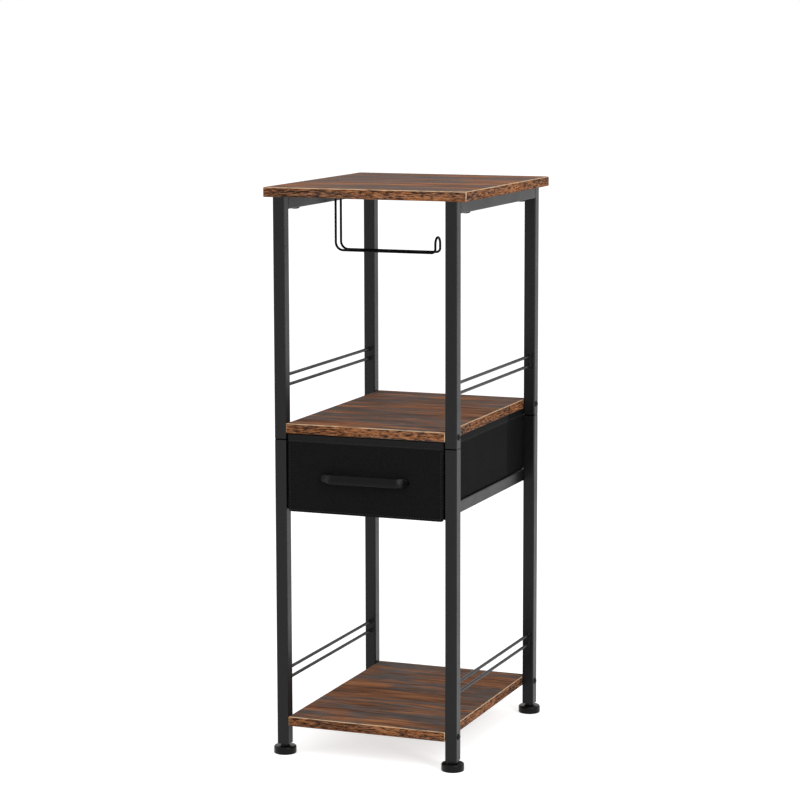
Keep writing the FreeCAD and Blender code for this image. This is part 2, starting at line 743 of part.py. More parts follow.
for corner in CORNERS:
    leg(f"upper_leg_{corner}", corner, "seam_height", FRAME_TOP, MIDDLE_SCREW_Z, -1)
    leg(f"lower_leg_{corner}", corner, LEG_END, "seam_height", BOTTOM_SCREW_Z, 1)
    coupling(corner)
    foot_plug(corner)
    foot_stud(corner)
    foot_pad(corner)

for name, side in SIDES.items():
    top_rail(name, side)
    drawer_runner(name, side)
    for level, shelf_top in (("upper", "middle_shelf_height"), ("lower", "bottom_shelf_height")):
        low_rod = f"({shelf_top} + rod_rise)"
        guard_rod(f"{level}_guard_rod_{name}_low", side, low_rod)
        guard_rod(f"{level}_guard_rod_{name}_high", side, f"({low_rod} + rod_spacing)")

top_shelf()
top_shelf_screws()
for name, shelf_top, screw_z in (("middle", "middle_shelf_height", MIDDLE_SCREW_Z),
                                 ("bottom", "bottom_shelf_height", BOTTOM_SCREW_Z)):
    inner_shelf(f"{name}_shelf", shelf_top)
    shelf_screws(f"{name}_shelf_screws", screw_z)
    shelf_inserts(f"{name}_shelf_inserts", screw_z)

roll_holder_plate()
roll_holder_screws()
roll_holder_wire()

drawer_front_cover()
drawer_front_board()
drawer_box()
drawer_base_board()
drawer_handle()
drawer_handle_screws()

doc.recompute()
for item in doc.Objects:
    if "Invalid" in item.State or "Error" in item.State:
        raise RuntimeError(f"{item.Label} did not compute")
for piece in nodes:
    if piece.Shape.isNull() or not piece.Shape.isValid():
        raise RuntimeError(f"{piece.Label} has no valid shape")

os.makedirs("parts", exist_ok=True)
for piece in nodes:
    piece.Shape.exportStep(f"parts/{piece.Label}.step")
print(f"{len(nodes)} sub-parts written")
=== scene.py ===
import json
import math

import bmesh
import bpy
import numpy as np
from bpy.props import FloatProperty, FloatVectorProperty, PointerProperty
from mathutils import Matrix, Vector


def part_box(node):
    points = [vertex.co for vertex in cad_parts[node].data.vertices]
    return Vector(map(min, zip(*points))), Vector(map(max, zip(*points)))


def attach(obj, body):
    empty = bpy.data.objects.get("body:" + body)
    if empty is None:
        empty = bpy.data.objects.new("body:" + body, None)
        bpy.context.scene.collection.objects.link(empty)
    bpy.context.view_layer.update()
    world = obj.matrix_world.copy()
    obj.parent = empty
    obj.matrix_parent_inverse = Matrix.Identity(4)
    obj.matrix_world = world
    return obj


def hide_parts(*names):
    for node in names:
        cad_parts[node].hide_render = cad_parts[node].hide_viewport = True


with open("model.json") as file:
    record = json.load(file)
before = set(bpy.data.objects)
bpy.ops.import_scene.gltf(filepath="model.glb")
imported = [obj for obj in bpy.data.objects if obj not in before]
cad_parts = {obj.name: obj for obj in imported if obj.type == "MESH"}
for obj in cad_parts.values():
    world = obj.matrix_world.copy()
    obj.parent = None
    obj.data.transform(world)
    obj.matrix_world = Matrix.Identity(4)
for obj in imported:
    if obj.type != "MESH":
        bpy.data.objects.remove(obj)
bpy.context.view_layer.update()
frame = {"nodes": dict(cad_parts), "record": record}

bl_info = {
    "name": "Bathroom Stand Finish",
    "version": (1, 0, 0),
    "blender": (4, 5, 0),
    "location": "3D View > Sidebar > Stand",
    "description": "Dresses a steel and board bathroom stand: laminate, powder coat, cloth, screws and feet",
    "category": "Object",
}

MERGE_DISTANCE = 1e-6
SHARP_ANGLE = math.radians(38)
QUARTER = math.pi / 2
FULL_TURN = 2 * math.pi
SENSOR_WIDTH = 36.0
CORNERS = ("front_left", "front_right", "back_left", "back_right")
X, Y, Z = np.eye(3)
WHITE = (1.0, 1.0, 1.0)

# How far each board's pattern is moved, so that no two boards look alike.
BOARD_SHIFTS = {
    "top_shelf": (0.13, 0.42, 0.0), "middle_shelf": (1.37, 2.11, 0.31), "bottom_shelf": (3.02, 1.26, 0.77),
}
# Layers of the boards' grain: stretch along it, stretch across it, detail, roughness, distortion.
BOARD_GRAIN = {
    "streaks": (7.5, 64.0, 7.0, 0.66),
    "bands": (4.0, 190.0, 5.0, 0.66),
    "fine": (24.0, 760.0, 3.0, 0.62),
    "slate": (9.0, 105.0, 6.0, 0.7),
    "dashes": (105.0, 760.0, 3.0, 0.66, 0.15),
    "line_breaks": (70.0, 200.0, 3.0, 0.55),
}
# Waves of the drawer front's cloth: radians a metre along X and along Z, phase, share.
CLOTH_WAVES = ((71.0, 23.0, 0.0, 1.0), (39.0, -97.0, 1.3, 0.8), (133.0, 151.0, 0.4, 0.5))
# Lamps: place, width, height. Their power is a setting of the stage.
LAMPS = {
    "key": ((2.3, -1.5, 1.35), 0.5, 2.4),
    "top": ((0.5, -0.6, 2.5), 1.2, 1.2),
    "fill": ((-2.4, -1.9, 1.3), 2.2, 2.2),
}
LAMP_TARGET = (0.0, 0.0, 0.38)


def length_property(name, description, default):
    """A size in metres that a user may change."""
    return FloatProperty(name=name, description=description, default=default, unit="LENGTH", precision=5)


def angle_property(name, description, degrees):
    """An angle that a user may change."""
    return FloatProperty(name=name, description=description, default=math.radians(degrees), subtype="ANGLE")


def power_property(name, description, default):
    """A lamp's power in watts that a user may change."""
    return FloatProperty(name=name, description=description, default=default, subtype="POWER")


def colour_property(name, description, default):
    """A linear colour that a user may change."""
    return FloatVectorProperty(name=name, description=description, default=default, subtype="COLOR",
                               min=0.0, max=1.0)


class StandColours(bpy.types.PropertyGroup):
    """The colours of the stand's finishes."""

    board_mid: colour_property("Board", "Main brown of the boards", (0.235, 0.088, 0.034))
    board_warm: colour_property("Board streaks", "Warm light streaks of the boards", (0.42, 0.165, 0.062))
    board_light: colour_property("Board edge dashes", "Light dashes on the edges", (0.46, 0.20, 0.082))
    board_deep: colour_property("Board shade", "Deep brown streaks of the boards", (0.080, 0.034, 0.018))
    board_slate: colour_property("Board patches", "Slate patches of the boards", (0.110, 0.090, 0.083))
    board_dash: colour_property("Board dashes", "Dark pores and dashes of the boards", (0.020, 0.011, 0.008))
    board_line: colour_property("Board edge line", "Pale line on the eased edges", (0.70, 0.49, 0.31))
    steel: colour_property("Powder coat", "Black of the steel", (0.0075, 0.0075, 0.0083))
    wire: colour_property("Roll holder", "Deep black of the roll holder's wire", (0.0022, 0.0022, 0.0024))
    cloth: colour_property("Cloth", "Black of the drawer's cloth", (0.0078, 0.0078, 0.0082))
    thread: colour_property("Thread", "Sewing thread", (0.030, 0.030, 0.031))
    handle: colour_property("Handle", "Satin black of the handle", (0.0034, 0.0034, 0.0037))
    foot: colour_property("Foot", "Moulded black of the feet", (0.0042, 0.0042, 0.0045))
    screw: colour_property("Screw", "Black oxide of the screws", (0.0080, 0.0080, 0.0088))
    zinc: colour_property("Zinc", "Plated steel inside the legs", (0.55, 0.56, 0.57))
    brass: colour_property("Brass", "Threaded inserts in the boards", (0.58, 0.42, 0.19))
    fibre: colour_property("Fibreboard", "Raw board inside the drawer", (0.30, 0.20, 0.12))


class StandCloth(bpy.types.PropertyGroup):
    """The sizes of the drawer's sewn cloth."""

    edge: length_property("Rim radius", "Rounding of the drawer front's rim", 0.0016)
    corner: length_property("Lower corner", "Rounding of the drawer front's lower corners", 0.0035)
    box_corner: length_property("Box corner", "Rounding of the box's upright corners", 0.004)
    hem: length_property("Hem", "Height of the folded hems", 0.0090)
    hem_lift: length_property("Hem lift", "How far the box's hem stands up above its wall", 0.0016)
    hem_rise: length_property("Hem rise", "How far a hem stands proud", 0.0005)
    seam_inset: length_property("Border seam", "Distance of the border seam from the rim", 0.0042)
    seam_depth: length_property("Seam depth", "How far a seam draws the cloth in", 0.00035)
    seam_width: length_property("Seam width", "Half width of a seam's furrow", 0.0007)
    sunk: length_property("Cloth rest", "How far the flat cloth lies behind the drawer front's box", 0.00045)
    swell: length_property("Swell", "How far the drawer front swells in the middle", 0.0005)
    ripple: length_property("Ripple", "Unevenness of the cloth", 0.00012)
    wall: length_property("Wall", "Thickness of the box's wall", 0.002)
    panel: length_property("Back panel", "Length of the box's sides behind their seam", 0.068)
    wall_bow: length_property("Wall bow", "Bow of the box's sides", 0.0008)
    pitch: length_property("Stitch pitch", "Distance from stitch to stitch", 0.0036)
    stitch: length_property("Stitch", "Length of a stitch", 0.0025)
    thread: length_property("Thread", "Thickness of the thread", 0.0005)


class StandHardware(bpy.types.PropertyGroup):
    """The sizes of handle, screws, feet, wire and welds."""

    handle_rest: length_property("Handle foot", "Width of each foot of the handle", 0.011)
    handle_flat: length_property("Handle flat", "Length of the handle's flat front", 0.087)
    handle_band: length_property("Handle band", "Thickness of the handle's band", 0.003)
    handle_tip: length_property("Handle tip", "Thickness of the handle's tips", 0.002)
    handle_end: length_property("Handle end", "Rounding of the handle's ends, seen from the front", 0.004)
    handle_dome: length_property("Handle dome", "How far the handle's front falls back at the top", 0.0014)
    handle_round: length_property("Handle rounding", "Rounding of the handle's long edges", 0.0014)
    shank: length_property("Shank", "Thickness of a screw's shank", 0.004)
    socket: length_property("Socket", "Half width of a screw's hexagon socket", 0.00125)
    socket_depth: length_property("Socket depth", "Depth of a screw's hexagon socket", 0.0011)
    side_screw: length_property("Side screw", "Length of the screws through the legs", 0.028)
    pad_height: length_property("Pad height", "Height of a foot's pad without its neck", 0.0095)
    pad_neck: length_property("Pad neck", "Radius of a pad's neck", 0.00575)
    pad_sole: length_property("Pad sole", "Thickness of a pad under the stud's head", 0.0025)
    stud: length_property("Stud", "Thickness of a foot's stud", 0.006)
    stud_head: length_property("Stud head", "Thickness of the stud's head in the pad", 0.003)
    stud_seat: length_property("Stud seat", "Radius of the hollow for the stud's head", 0.0065)
    thread_pitch: length_property("Thread pitch", "Pitch of the stud's thread", 0.001)
    thread_depth: length_property("Thread depth", "Depth of the stud's thread", 0.00045)
    wire: length_property("Wire", "Thickness of the roll holder's wire", 0.003)
    wire_heel: length_property("Wire heel", "Bend radius where the wire turns into the arm", 0.010)
    wire_toe: length_property("Wire toe", "Bend radius where the arm turns up", 0.005)
    wire_rise: length_property("Wire tip", "Height of the turned up tip", 0.019)
    bead: length_property("Weld bead", "Radius of a weld bead", 0.0010)


class StandStage(bpy.types.PropertyGroup):
    """The camera and the light."""

    eye: FloatVectorProperty(name="Camera place", description="Where the camera stands",
                             default=(1.1861, -3.0648, 0.9102), subtype="TRANSLATION", unit="LENGTH")
    azimuth: angle_property("Azimuth", "Camera's turn to the right of the front", 21.36)
    elevation: angle_property("Elevation", "Camera's tilt down", 8.359)
    roll: angle_property("Roll", "Camera's turn about its own axis", -0.132)
    lens: FloatProperty(name="Lens", description="Focal length in millimetres on a 36 mm sensor",
                        default=119.5, subtype="DISTANCE_CAMERA")
    ambient: FloatProperty(name="Ambient", description="Strength of the even light all round", default=0.55)
    key: power_property("Key", "Power of the large lamp on the right", 34.0)
    top: power_property("Top", "Power of the lamp above", 7.0)
    fill: power_property("Fill", "Power of the large lamp on the left", 14.0)
    floor: colour_property("Floor", "Colour of the floor", (0.86, 0.86, 0.86))
    floor_radius: length_property("Floor radius", "Radius of the round floor", 30.0)


def scaled(colour, factor):
    """A colour made darker or lighter."""
    return [channel * factor for channel in colour]


class Nodes:
    """A node tree with short names for the nodes that the finishes are made of."""

    def __init__(self, tree):
        self.tree = tree

    def plug(self, value, socket):
        """Feed a socket with another node's socket, a colour, a vector or a number."""
        if isinstance(value, bpy.types.NodeSocket):
            self.tree.links.new(value, socket)
        elif socket.type == "RGBA":
            socket.default_value = (*value, 1.0)
        else:
            socket.default_value = value

    def add(self, kind, inputs=None, **options):
        """Add a shader node, set its options and feed its inputs."""
        made = self.tree.nodes.new("ShaderNode" + kind)
        for key, value in options.items():
            setattr(made, key, value)
        for key, value in (inputs or {}).items():
            self.plug(value, made.inputs[key])
        return made

    def math(self, operation, first, second=0.0):
        """The result of one sum on numbers or sockets."""
        return self.add("Math", {0: first, 1: second}, operation=operation).outputs[0]

    def times(self, first, second):
        """One value times another."""
        return self.math("MULTIPLY", first, second)

    def weigh(self, *pairs):
        """The sum of values, each times its weight."""
        total, *others = [self.times(value, weight) for value, weight in pairs]
        for value in others:
            total = self.math("ADD", total, value)
        return total

    def vector(self, operation, first, second=(0.0, 0.0, 0.0), output="Vector"):
        """The result of one sum on vectors."""
        return self.add("VectorMath", {0: first, 1: second}, operation=operation).outputs[output]

    def split(self, vector):
        """A vector's three parts."""
        return self.add("SeparateXYZ", {0: vector}).outputs[:]

    def combine(self, x, y, z):
        """A vector of three parts."""
        return self.add("CombineXYZ", {0: x, 1: y, 2: z}).outputs[0]

    def noise(self, place, scale, detail=3.0, roughness=0.55, distortion=0.0):
        """A cloud of values about one half."""
        inputs = {"Vector": place, "Scale": scale, "Detail": detail, "Roughness": roughness,
                  "Distortion": distortion}
        return self.add("TexNoise", inputs).outputs["Fac"]

    def stretched(self, place, along, across, *layer):
        """A cloud drawn out along X, with its detail, roughness and distortion."""
        return self.noise(self.vector("MULTIPLY", place, (along, across, across)), 1.0, *layer)

    def cells(self, place, scale, randomness=1.0, dimensions="3D"):
        """The distance from the nearest of many scattered points."""
        inputs = {"Vector": place, "Scale": scale, "Randomness": randomness}
        return self.add("TexVoronoi", inputs, voronoi_dimensions=dimensions).outputs["Distance"]

    def between(self, value, low, high, start=0.0, end=1.0, kind="LINEAR"):
        """A value between two levels mapped to another pair of levels."""
        inputs = {"Value": value, "From Min": low, "From Max": high, "To Min": start, "To Max": end}
        return self.add("MapRange", inputs, interpolation_type=kind).outputs[0]

    def soft(self, value, low, high, end=1.0):
        """A rise from zero between two levels, eased at both."""
        return self.between(value, low, high, 0.0, end, "SMOOTHSTEP")

    def about(self, value, middle, spread):
        """A cloud's value mapped to a middle, give or take a spread."""
        return self.between(value, 0.3, 0.7, middle - spread, middle + spread)

    def mix(self, share, first, second, kind="RGBA"):
        """Two colours, vectors or numbers mixed by a share."""
        made = self.add("Mix", data_type=kind)
        used = [socket for socket in made.inputs if socket.enabled]
        for socket, value in zip(used, (share, first, second)):
            self.plug(value, socket)
        return next(socket for socket in made.outputs if socket.enabled)

    def shades(self, colour, value, low, high, dark, light):
        """A colour times one factor where a value is low and times another where it is high."""
        return self.mix(self.between(value, low, high), scaled(colour, dark), scaled(colour, light))

    def seen_share(self):
        """1 for what the camera sees, straight or in gloss or glass, 0 for light that falls on a surface."""
        path = self.add("LightPath").outputs
        gloss = self.math("MAXIMUM", path["Is Glossy Ray"], path["Is Transmission Ray"])
        return self.math("MAXIMUM", path["Is Camera Ray"], gloss)


class Finish(Nodes):
    """A material in the making, with its even values on the shader's own sockets, which the export keeps."""

    def __init__(self, name, **even):
        self.material = bpy.data.materials.new(name)
        self.material.use_nodes = True
        super().__init__(self.material.node_tree)
        self.shader = self.tree.nodes["Principled BSDF"]
        coordinates = self.add("TexCoord").outputs
        self.place, self.normal = coordinates["Object"], coordinates["Normal"]
        self.feed(**even)

    def feed(self, **values):
        """Feed the shader's inputs, named with underscores for spaces."""
        for key, value in values.items():
            self.plug(value, self.shader.inputs[key.replace("_", " ")])

    def bump(self, height, distance, strength):
        """Raise the surface by a height in shares of a distance."""
        made = self.add("Bump", {"Height": height, "Distance": distance, "Strength": strength})
        self.feed(Normal=made.outputs[0])


def laminate(name, colours, shift):
    """Rustic brown board: streaks in browns, slate patches, dark pores and a pale line on the eased edges.

    The grain runs along X, but along Y on the two side edges, as an edge band does. The edges have shorter
    and closer dashes than the faces.
    """
    board = Finish(name, Specular_IOR_Level=0.08)
    face_x, face_y, face_z = board.split(board.vector("ABSOLUTE", board.normal))
    on_side = board.math("GREATER_THAN", face_x, 0.75)
    on_edge = board.math("LESS_THAN", face_z, 0.5)
    widest = board.math("MAXIMUM", board.math("MAXIMUM", face_x, face_y), face_z)
    not_under = board.math("GREATER_THAN", board.split(board.normal)[2], -0.3)
    on_bevel = board.times(board.math("LESS_THAN", widest, 0.9), not_under)
    moved = board.vector("ADD", board.place, shift)
    x, y, z = board.split(moved)
    plain = board.mix(on_side, moved, board.combine(y, x, z), "VECTOR")
    sway = board.between(board.stretched(plain, 7.0, 16.0, 2.0), 0.0, 1.0, -0.012, 0.012)
    swayed = board.vector("ADD", plain, board.combine(0.0, sway, 0.0))
    grain = {layer: board.stretched(swayed, *shape) for layer, shape in BOARD_GRAIN.items()}
    bands, fine, dashes = grain["bands"], grain["fine"], grain["dashes"]
    cloud = board.stretched(plain, 7.0, 17.0, 2.0, 0.5)
    pores = board.cells(board.vector("MULTIPLY", swayed, (30.0, 300.0, 300.0)), 1.0)

    tone = board.weigh((grain["streaks"], 0.52), (bands, 0.24), (fine, 0.24))
    deep = board.mix(board.soft(tone, 0.43, 0.50), colours.board_deep, colours.board_mid)
    warm = board.mix(board.soft(tone, 0.49, 0.59), deep, colours.board_warm)
    patch = board.times(board.soft(cloud, 0.38, 0.52), board.soft(grain["slate"], 0.42, 0.53))
    patch_share = board.times(patch, board.between(on_edge, 0.0, 1.0, 0.92, 0.35))
    slate = board.shades(colours.board_slate, fine, 0.40, 0.62, dark=0.62, light=1.35)
    patched = board.mix(patch_share, warm, slate)
    light_share = board.times(board.soft(dashes, 0.54, 0.63, 0.85), on_edge)
    lit = board.mix(light_share, patched, colours.board_light)
    face_dash = board.times(board.soft(pores, 0.28, 0.15, 0.85), board.between(bands, 0.56, 0.44))
    dash_share = board.mix(on_edge, face_dash, board.soft(dashes, 0.49, 0.42, 0.94), "FLOAT")
    dashed = board.mix(dash_share, lit, colours.board_dash)
    # A pale line on the bevels that do not face down, stronger in some places than others.
    line_share = board.times(on_bevel, board.between(grain["line_breaks"], 0.36, 0.52, 0.45, 1.0))
    board.feed(Base_Color=board.mix(line_share, dashed, colours.board_line),
               Roughness=board.about(tone, 0.71, -0.07))
    board.bump(board.math("SUBTRACT", board.times(fine, 0.6), dash_share), distance=0.00022, strength=0.8)
    return board.material


def powder_coat(name, colour, roughness, shine=0.205):
    """Fine matt powder coat: a sandy grain of small bumps and light specks, slow changes of gloss.

    Where the upper and the lower legs meet, a thin black line is painted in: painted shade in the joint.
    """
    # Half width of the painted shade line at the leg seam, and where it has faded out.
    seam_shade_half, seam_shade_edge = 0.0006, 0.0009
    coat = Finish(name, Specular_IOR_Level=shine)
    seam_z = box_of("upper_leg_front_left")[0][2]
    from_seam = coat.math("ABSOLUTE", coat.math("SUBTRACT", coat.split(coat.place)[2], seam_z))
    clear_of_seam_shade = coat.between(from_seam, seam_shade_half, seam_shade_edge)
    peel = coat.noise(coat.place, 760.0, 2.0, 0.6)
    sand = coat.noise(coat.place, 560.0, 2.0, 0.5)
    fine = coat.noise(coat.place, 1900.0, 2.0, 0.6)
    cloud = coat.noise(coat.place, 22.0)
    grain = coat.weigh((peel, 0.25), (sand, 0.33), (fine, 0.42))
    ground = coat.shades(colour, grain, 0.36, 0.60, dark=0.6, light=1.3)
    specked = coat.mix(coat.soft(grain, 0.58, 0.68, 0.9), ground, scaled(colour, 2.4))
    gloss = coat.math("ADD", coat.about(cloud, roughness, 0.04), coat.about(peel, 0.0, 0.05))
    # Painted shade at the leg seam: a fifth of the colour, and black metal that shows no white reflection.
    coat.feed(Base_Color=coat.mix(clear_of_seam_shade, scaled(colour, 0.2), specked), Roughness=gloss,
              Metallic=coat.between(clear_of_seam_shade, 0.0, 1.0, 1.0, 0.0))
    coat.bump(grain, distance=0.00020, strength=0.6)
    return coat.material


def black_cloth(name, colour, hem_foot, seam_y):
    """Non-woven cloth: pressed dots in close rows and loose fibres between them.

    The hems are a little lighter, and behind the side seams the cloth is painted much darker: painted
    shade on the back of the box's sides.
    """
    cloth = Finish(name, Specular_IOR_Level=0.055)
    _, y, z = cloth.split(cloth.place)
    hem_blur, seam_blur = 0.0003, 0.0015
    on_hem = cloth.between(z, hem_foot - hem_blur, hem_foot + hem_blur)
    # Share of the painted shade on the box's sides behind their seams.
    behind = cloth.between(y, seam_y - seam_blur, seam_y + seam_blur, 0.0, 0.8)
    weave = cloth.add("UVMap", uv_map="Cloth").outputs[0]
    pressed = cloth.soft(cloth.cells(weave, 620.0, 0.35, "2D"), 0.12, 0.42)
    fibres = [cloth.noise(cloth.vector("MULTIPLY", weave, (*lengths, 1.0)), 1.0, 3.0, 0.65, 0.8)
              for lengths in ((1500.0, 420.0), (380.0, 1500.0))]
    hair = cloth.math("MAXIMUM", *fibres)
    flock = cloth.shades(colour, hair, 0.48, 0.72, dark=0.62, light=1.7)
    cloud = cloth.between(cloth.noise(weave, 26.0), 0.3, 0.7, 0.0, 0.35)
    worn = cloth.mix(cloud, flock, scaled(colour, 1.25))
    # The hems made a little lighter.
    hem_lightened = cloth.mix(on_hem, worn, cloth.mix(0.5, worn, scaled(colour, 3.0)))
    # Painted shade behind the side seams: the colour falls mostly to a fifth.
    cloth.feed(Base_Color=cloth.mix(behind, hem_lightened, scaled(colour, 0.2)),
               Roughness=cloth.between(hair, 0.4, 0.7, 0.95, 0.78))
    cloth.bump(cloth.weigh((pressed, 1.0), (hair, 0.8)), distance=0.0002, strength=0.7)
    return cloth.material


def satin_black(name, colour, roughness, grain, shine=0.15, painted_dark_from=None):
    """Satin black: a fine spark texture and slow changes of gloss.

    Beyond a distance from the middle, where one is given, it turns black: painted shade and dark reflection.
    """
    painted_dark_ramp = 0.0035
    satin = Finish(name, Specular_IOR_Level=shine)
    spark = satin.noise(satin.place, grain, 3.0, 0.6)
    cloud = satin.noise(satin.place, 60.0, 2.0)
    dull = satin.weigh((cloud, 1.0), (spark, 0.5))
    satin.feed(Base_Color=satin.shades(colour, spark, 0.35, 0.65, dark=0.8, light=1.3),
               Roughness=satin.between(dull, 0.45, 1.05, roughness - 0.05, roughness + 0.07))
    # Painted shade and dark reflection: black metal beyond the given distance from the middle.
    if painted_dark_from:
        aside = satin.math("ABSOLUTE", satin.split(satin.place)[0])
        satin.feed(Metallic=satin.soft(aside, painted_dark_from, painted_dark_from + painted_dark_ramp))
    satin.bump(spark, distance=0.00008, strength=0.5)
    return satin.material


def plated(name, colour, roughness):
    """Plated metal: spangle in tone and gloss."""
    metal = Finish(name, Metallic=1.0)
    spangle = metal.cells(metal.place, 420.0)
    scuff = metal.noise(metal.place, 300.0)
    metal.feed(Base_Color=metal.shades(colour, spangle, 0.1, 0.7, dark=1.0, light=0.82),
               Roughness=metal.about(scuff, roughness, 0.08))
    metal.bump(scuff, distance=0.00004, strength=0.4)
    return metal.material


def fibreboard(name, colour):
    """Raw fibreboard: short fibres in browns."""
    raw = Finish(name, Specular_IOR_Level=0.3)
    fibre = raw.stretched(raw.place, 500.0, 900.0, 4.0, 0.65, 1.0)
    cloud = raw.between(raw.noise(raw.place, 24.0), 0.3, 0.7, 0.0, 0.4)
    mixed = raw.shades(colour, fibre, 0.35, 0.65, dark=0.72, light=1.22)
    raw.feed(Base_Color=raw.mix(cloud, mixed, colour), Roughness=raw.about(fibre, 0.8, 0.1))
    raw.bump(fibre, distance=0.00015, strength=0.5)
    return raw.material


def paint(nodes, material):
    """Give CAD nodes a finish."""
    for name in nodes:
        materials = frame["nodes"][name].data.materials
        materials.clear()
        materials.append(material)


def nodes_in(slot):
    """The CAD nodes that the record puts in a material slot."""
    return [part["node"] for part in frame["record"]["subparts"] if part["material_slot"] == slot]


def box_of(node):
    """Lowest and highest corner of a CAD node as arrays."""
    low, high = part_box(node)
    return np.array(low), np.array(high)


def middle_of(node):
    """Middle of a CAD node's box."""
    return sum(box_of(node)) / 2


def points(*parts):
    """Places from their coordinates, each an array or a number, spread over one another."""
    return np.stack(np.broadcast_arrays(*parts), axis=-1)


def grid_quads(rows, columns):
    """Corner numbers of the quads of a grid of points, row by row."""
    corner = np.arange(rows * columns).reshape(rows, columns)
    around = (corner[:-1, :-1], corner[:-1, 1:], corner[1:, 1:], corner[1:, :-1])
    return np.stack(around, axis=-1).reshape(-1, 4)


def build_piece(name, grids, material, body, replaced=()):
    """Make one mesh piece of grids of points and let it ride on a body.

    A grid is an array (..., rows, columns, 3), or 5 with the two lengths along the cloth after the place.
    Axes before the rows hold copies of one shape. Points that meet, at seams and poles, are merged, and the
    closed shells are turned to face outwards.
    """
    spots, faces = [], []
    start = 0
    for grid in grids:
        rows, columns, width = grid.shape[-3:]
        copies = grid.reshape(-1, rows * columns, width)
        offsets = start + np.arange(len(copies)) * rows * columns
        faces.append((grid_quads(rows, columns) + offsets[:, None, None]).reshape(-1, 4))
        spots.append(copies.reshape(-1, width))
        start += len(copies) * rows * columns
    spots, faces = np.concatenate(spots), np.concatenate(faces)
    mesh = bpy.data.meshes.new(name)
    mesh.from_pydata(spots[:, :3], [], faces)
    if spots.shape[1] > 3:
        layer = mesh.uv_layers.new(name="Cloth")
        layer.uv.foreach_set("vector", spots[faces.ravel(), 3:].astype(np.float32).ravel())
    shell = bmesh.new()
    shell.from_mesh(mesh)
    bmesh.ops.remove_doubles(shell, verts=shell.verts, dist=MERGE_DISTANCE)
    bmesh.ops.recalc_face_normals(shell, faces=shell.faces)
    shell.to_mesh(mesh)
    shell.free()
    mesh.polygons.foreach_set("use_smooth", np.ones(len(mesh.polygons), dtype=bool))
    mesh.set_sharp_from_angle(angle=SHARP_ANGLE)
    mesh.materials.append(material)
    piece = bpy.data.objects.new(name, mesh)
    bpy.context.scene.collection.objects.link(piece)
    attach(piece, body)
    if replaced:
        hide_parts(*replaced)


def smooth_step(value, level, width):
    """0 below a level, 1 above it, with a soft rise of a given width."""
    share = np.clip((value - level) / width + 0.5, 0.0, 1.0)
    return share * share * (3.0 - 2.0 * share)


def soft_least(first, second, width):
    """The lesser of two values, with the corner between them rounded over a width."""
    return (first + second - np.sqrt((first - second) ** 2 + width ** 2)) / 2


def arc_inset(distance, radius):
    """How far a round of a radius draws in at a distance from its start."""
    left = radius - np.minimum(distance, radius)
    return radius - np.sqrt(np.maximum(radius ** 2 - left ** 2, 0.0))


def rounded_loop(steps_x, steps_y, steps_arc):
    """A walk round a rounded rectangle, as shares that suit any size.

    Returns where each point is along X and along Y, from -1 to 1, and the outward direction there. A point is
    then share * (half size - radius) + radius * direction on each axis.
    """
    corners = ((-1, -1), (1, -1), (1, 1), (-1, 1))
    share_x, share_y, angle = [], [], []
    for number, (x, y) in enumerate(corners):
        next_x, next_y = corners[(number + 1) % 4]
        steps = steps_x if y == next_y else steps_y
        facing = QUARTER * (number - 1)
        share_x += [np.linspace(x, next_x, steps), np.full(steps_arc, next_x)]
        share_y += [np.linspace(y, next_y, steps), np.full(steps_arc, next_y)]
        angle += [np.full(steps, facing), facing + np.linspace(0.0, QUARTER, steps_arc)]
    angle = np.concatenate(angle)
    return np.concatenate(share_x), np.concatenate(share_y), np.cos(angle), np.sin(angle)


def length_along(x, y):
    """The way walked along a line of points up to each of them."""
    return np.cumsum(np.hypot(np.diff(x, prepend=x[0]), np.diff(y, prepend=y[0])))


def around(steps):
    """The angles of one full turn, closed at its end."""
    return np.linspace(0.0, FULL_TURN, steps + 1)


def circles(radius, angle):
    """The two coordinates of points at a radius and an angle."""
    return radius * np.cos(angle), radius * np.sin(angle)


def revolved(profile, steps):
    """Turn a profile of (radius, height) pairs about the Z axis, closed after one turn."""
    return points(*circles(profile[:, :1], around(steps)), profile[:, 1:])


def round_turn(centre, radius, start, end, steps):
    """Points of an arc in a plane, from one angle in degrees to another."""
    return points(*circles(radius, np.radians(np.linspace(start, end, steps)))) + centre


def tube(path, reference, radius, steps):
    """Carry a circle along a path. The reference is a direction across the path at each of its points."""
    along = np.gradient(path, axis=0)
    along /= np.linalg.norm(along, axis=1, keepdims=True)
    across = reference - np.sum(reference * along, axis=1, keepdims=True) * along
    across /= np.linalg.norm(across, axis=1, keepdims=True)
    third = np.cross(along, across)
    turn = around(steps)[None, :, None]
    return path[:, None] + radius * (np.cos(turn) * across[:, None] + np.sin(turn) * third[:, None])


def placed(shape, centres, along, across, out):
    """Copies of a small shape at many places, its X, Y and Z axes turned to three directions."""
    axes = np.stack([np.broadcast_to(axis, centres.shape) for axis in (along, across, out)], axis=1)
    return np.einsum("rci,nij->nrcj", shape, axes) + centres[:, None, None]


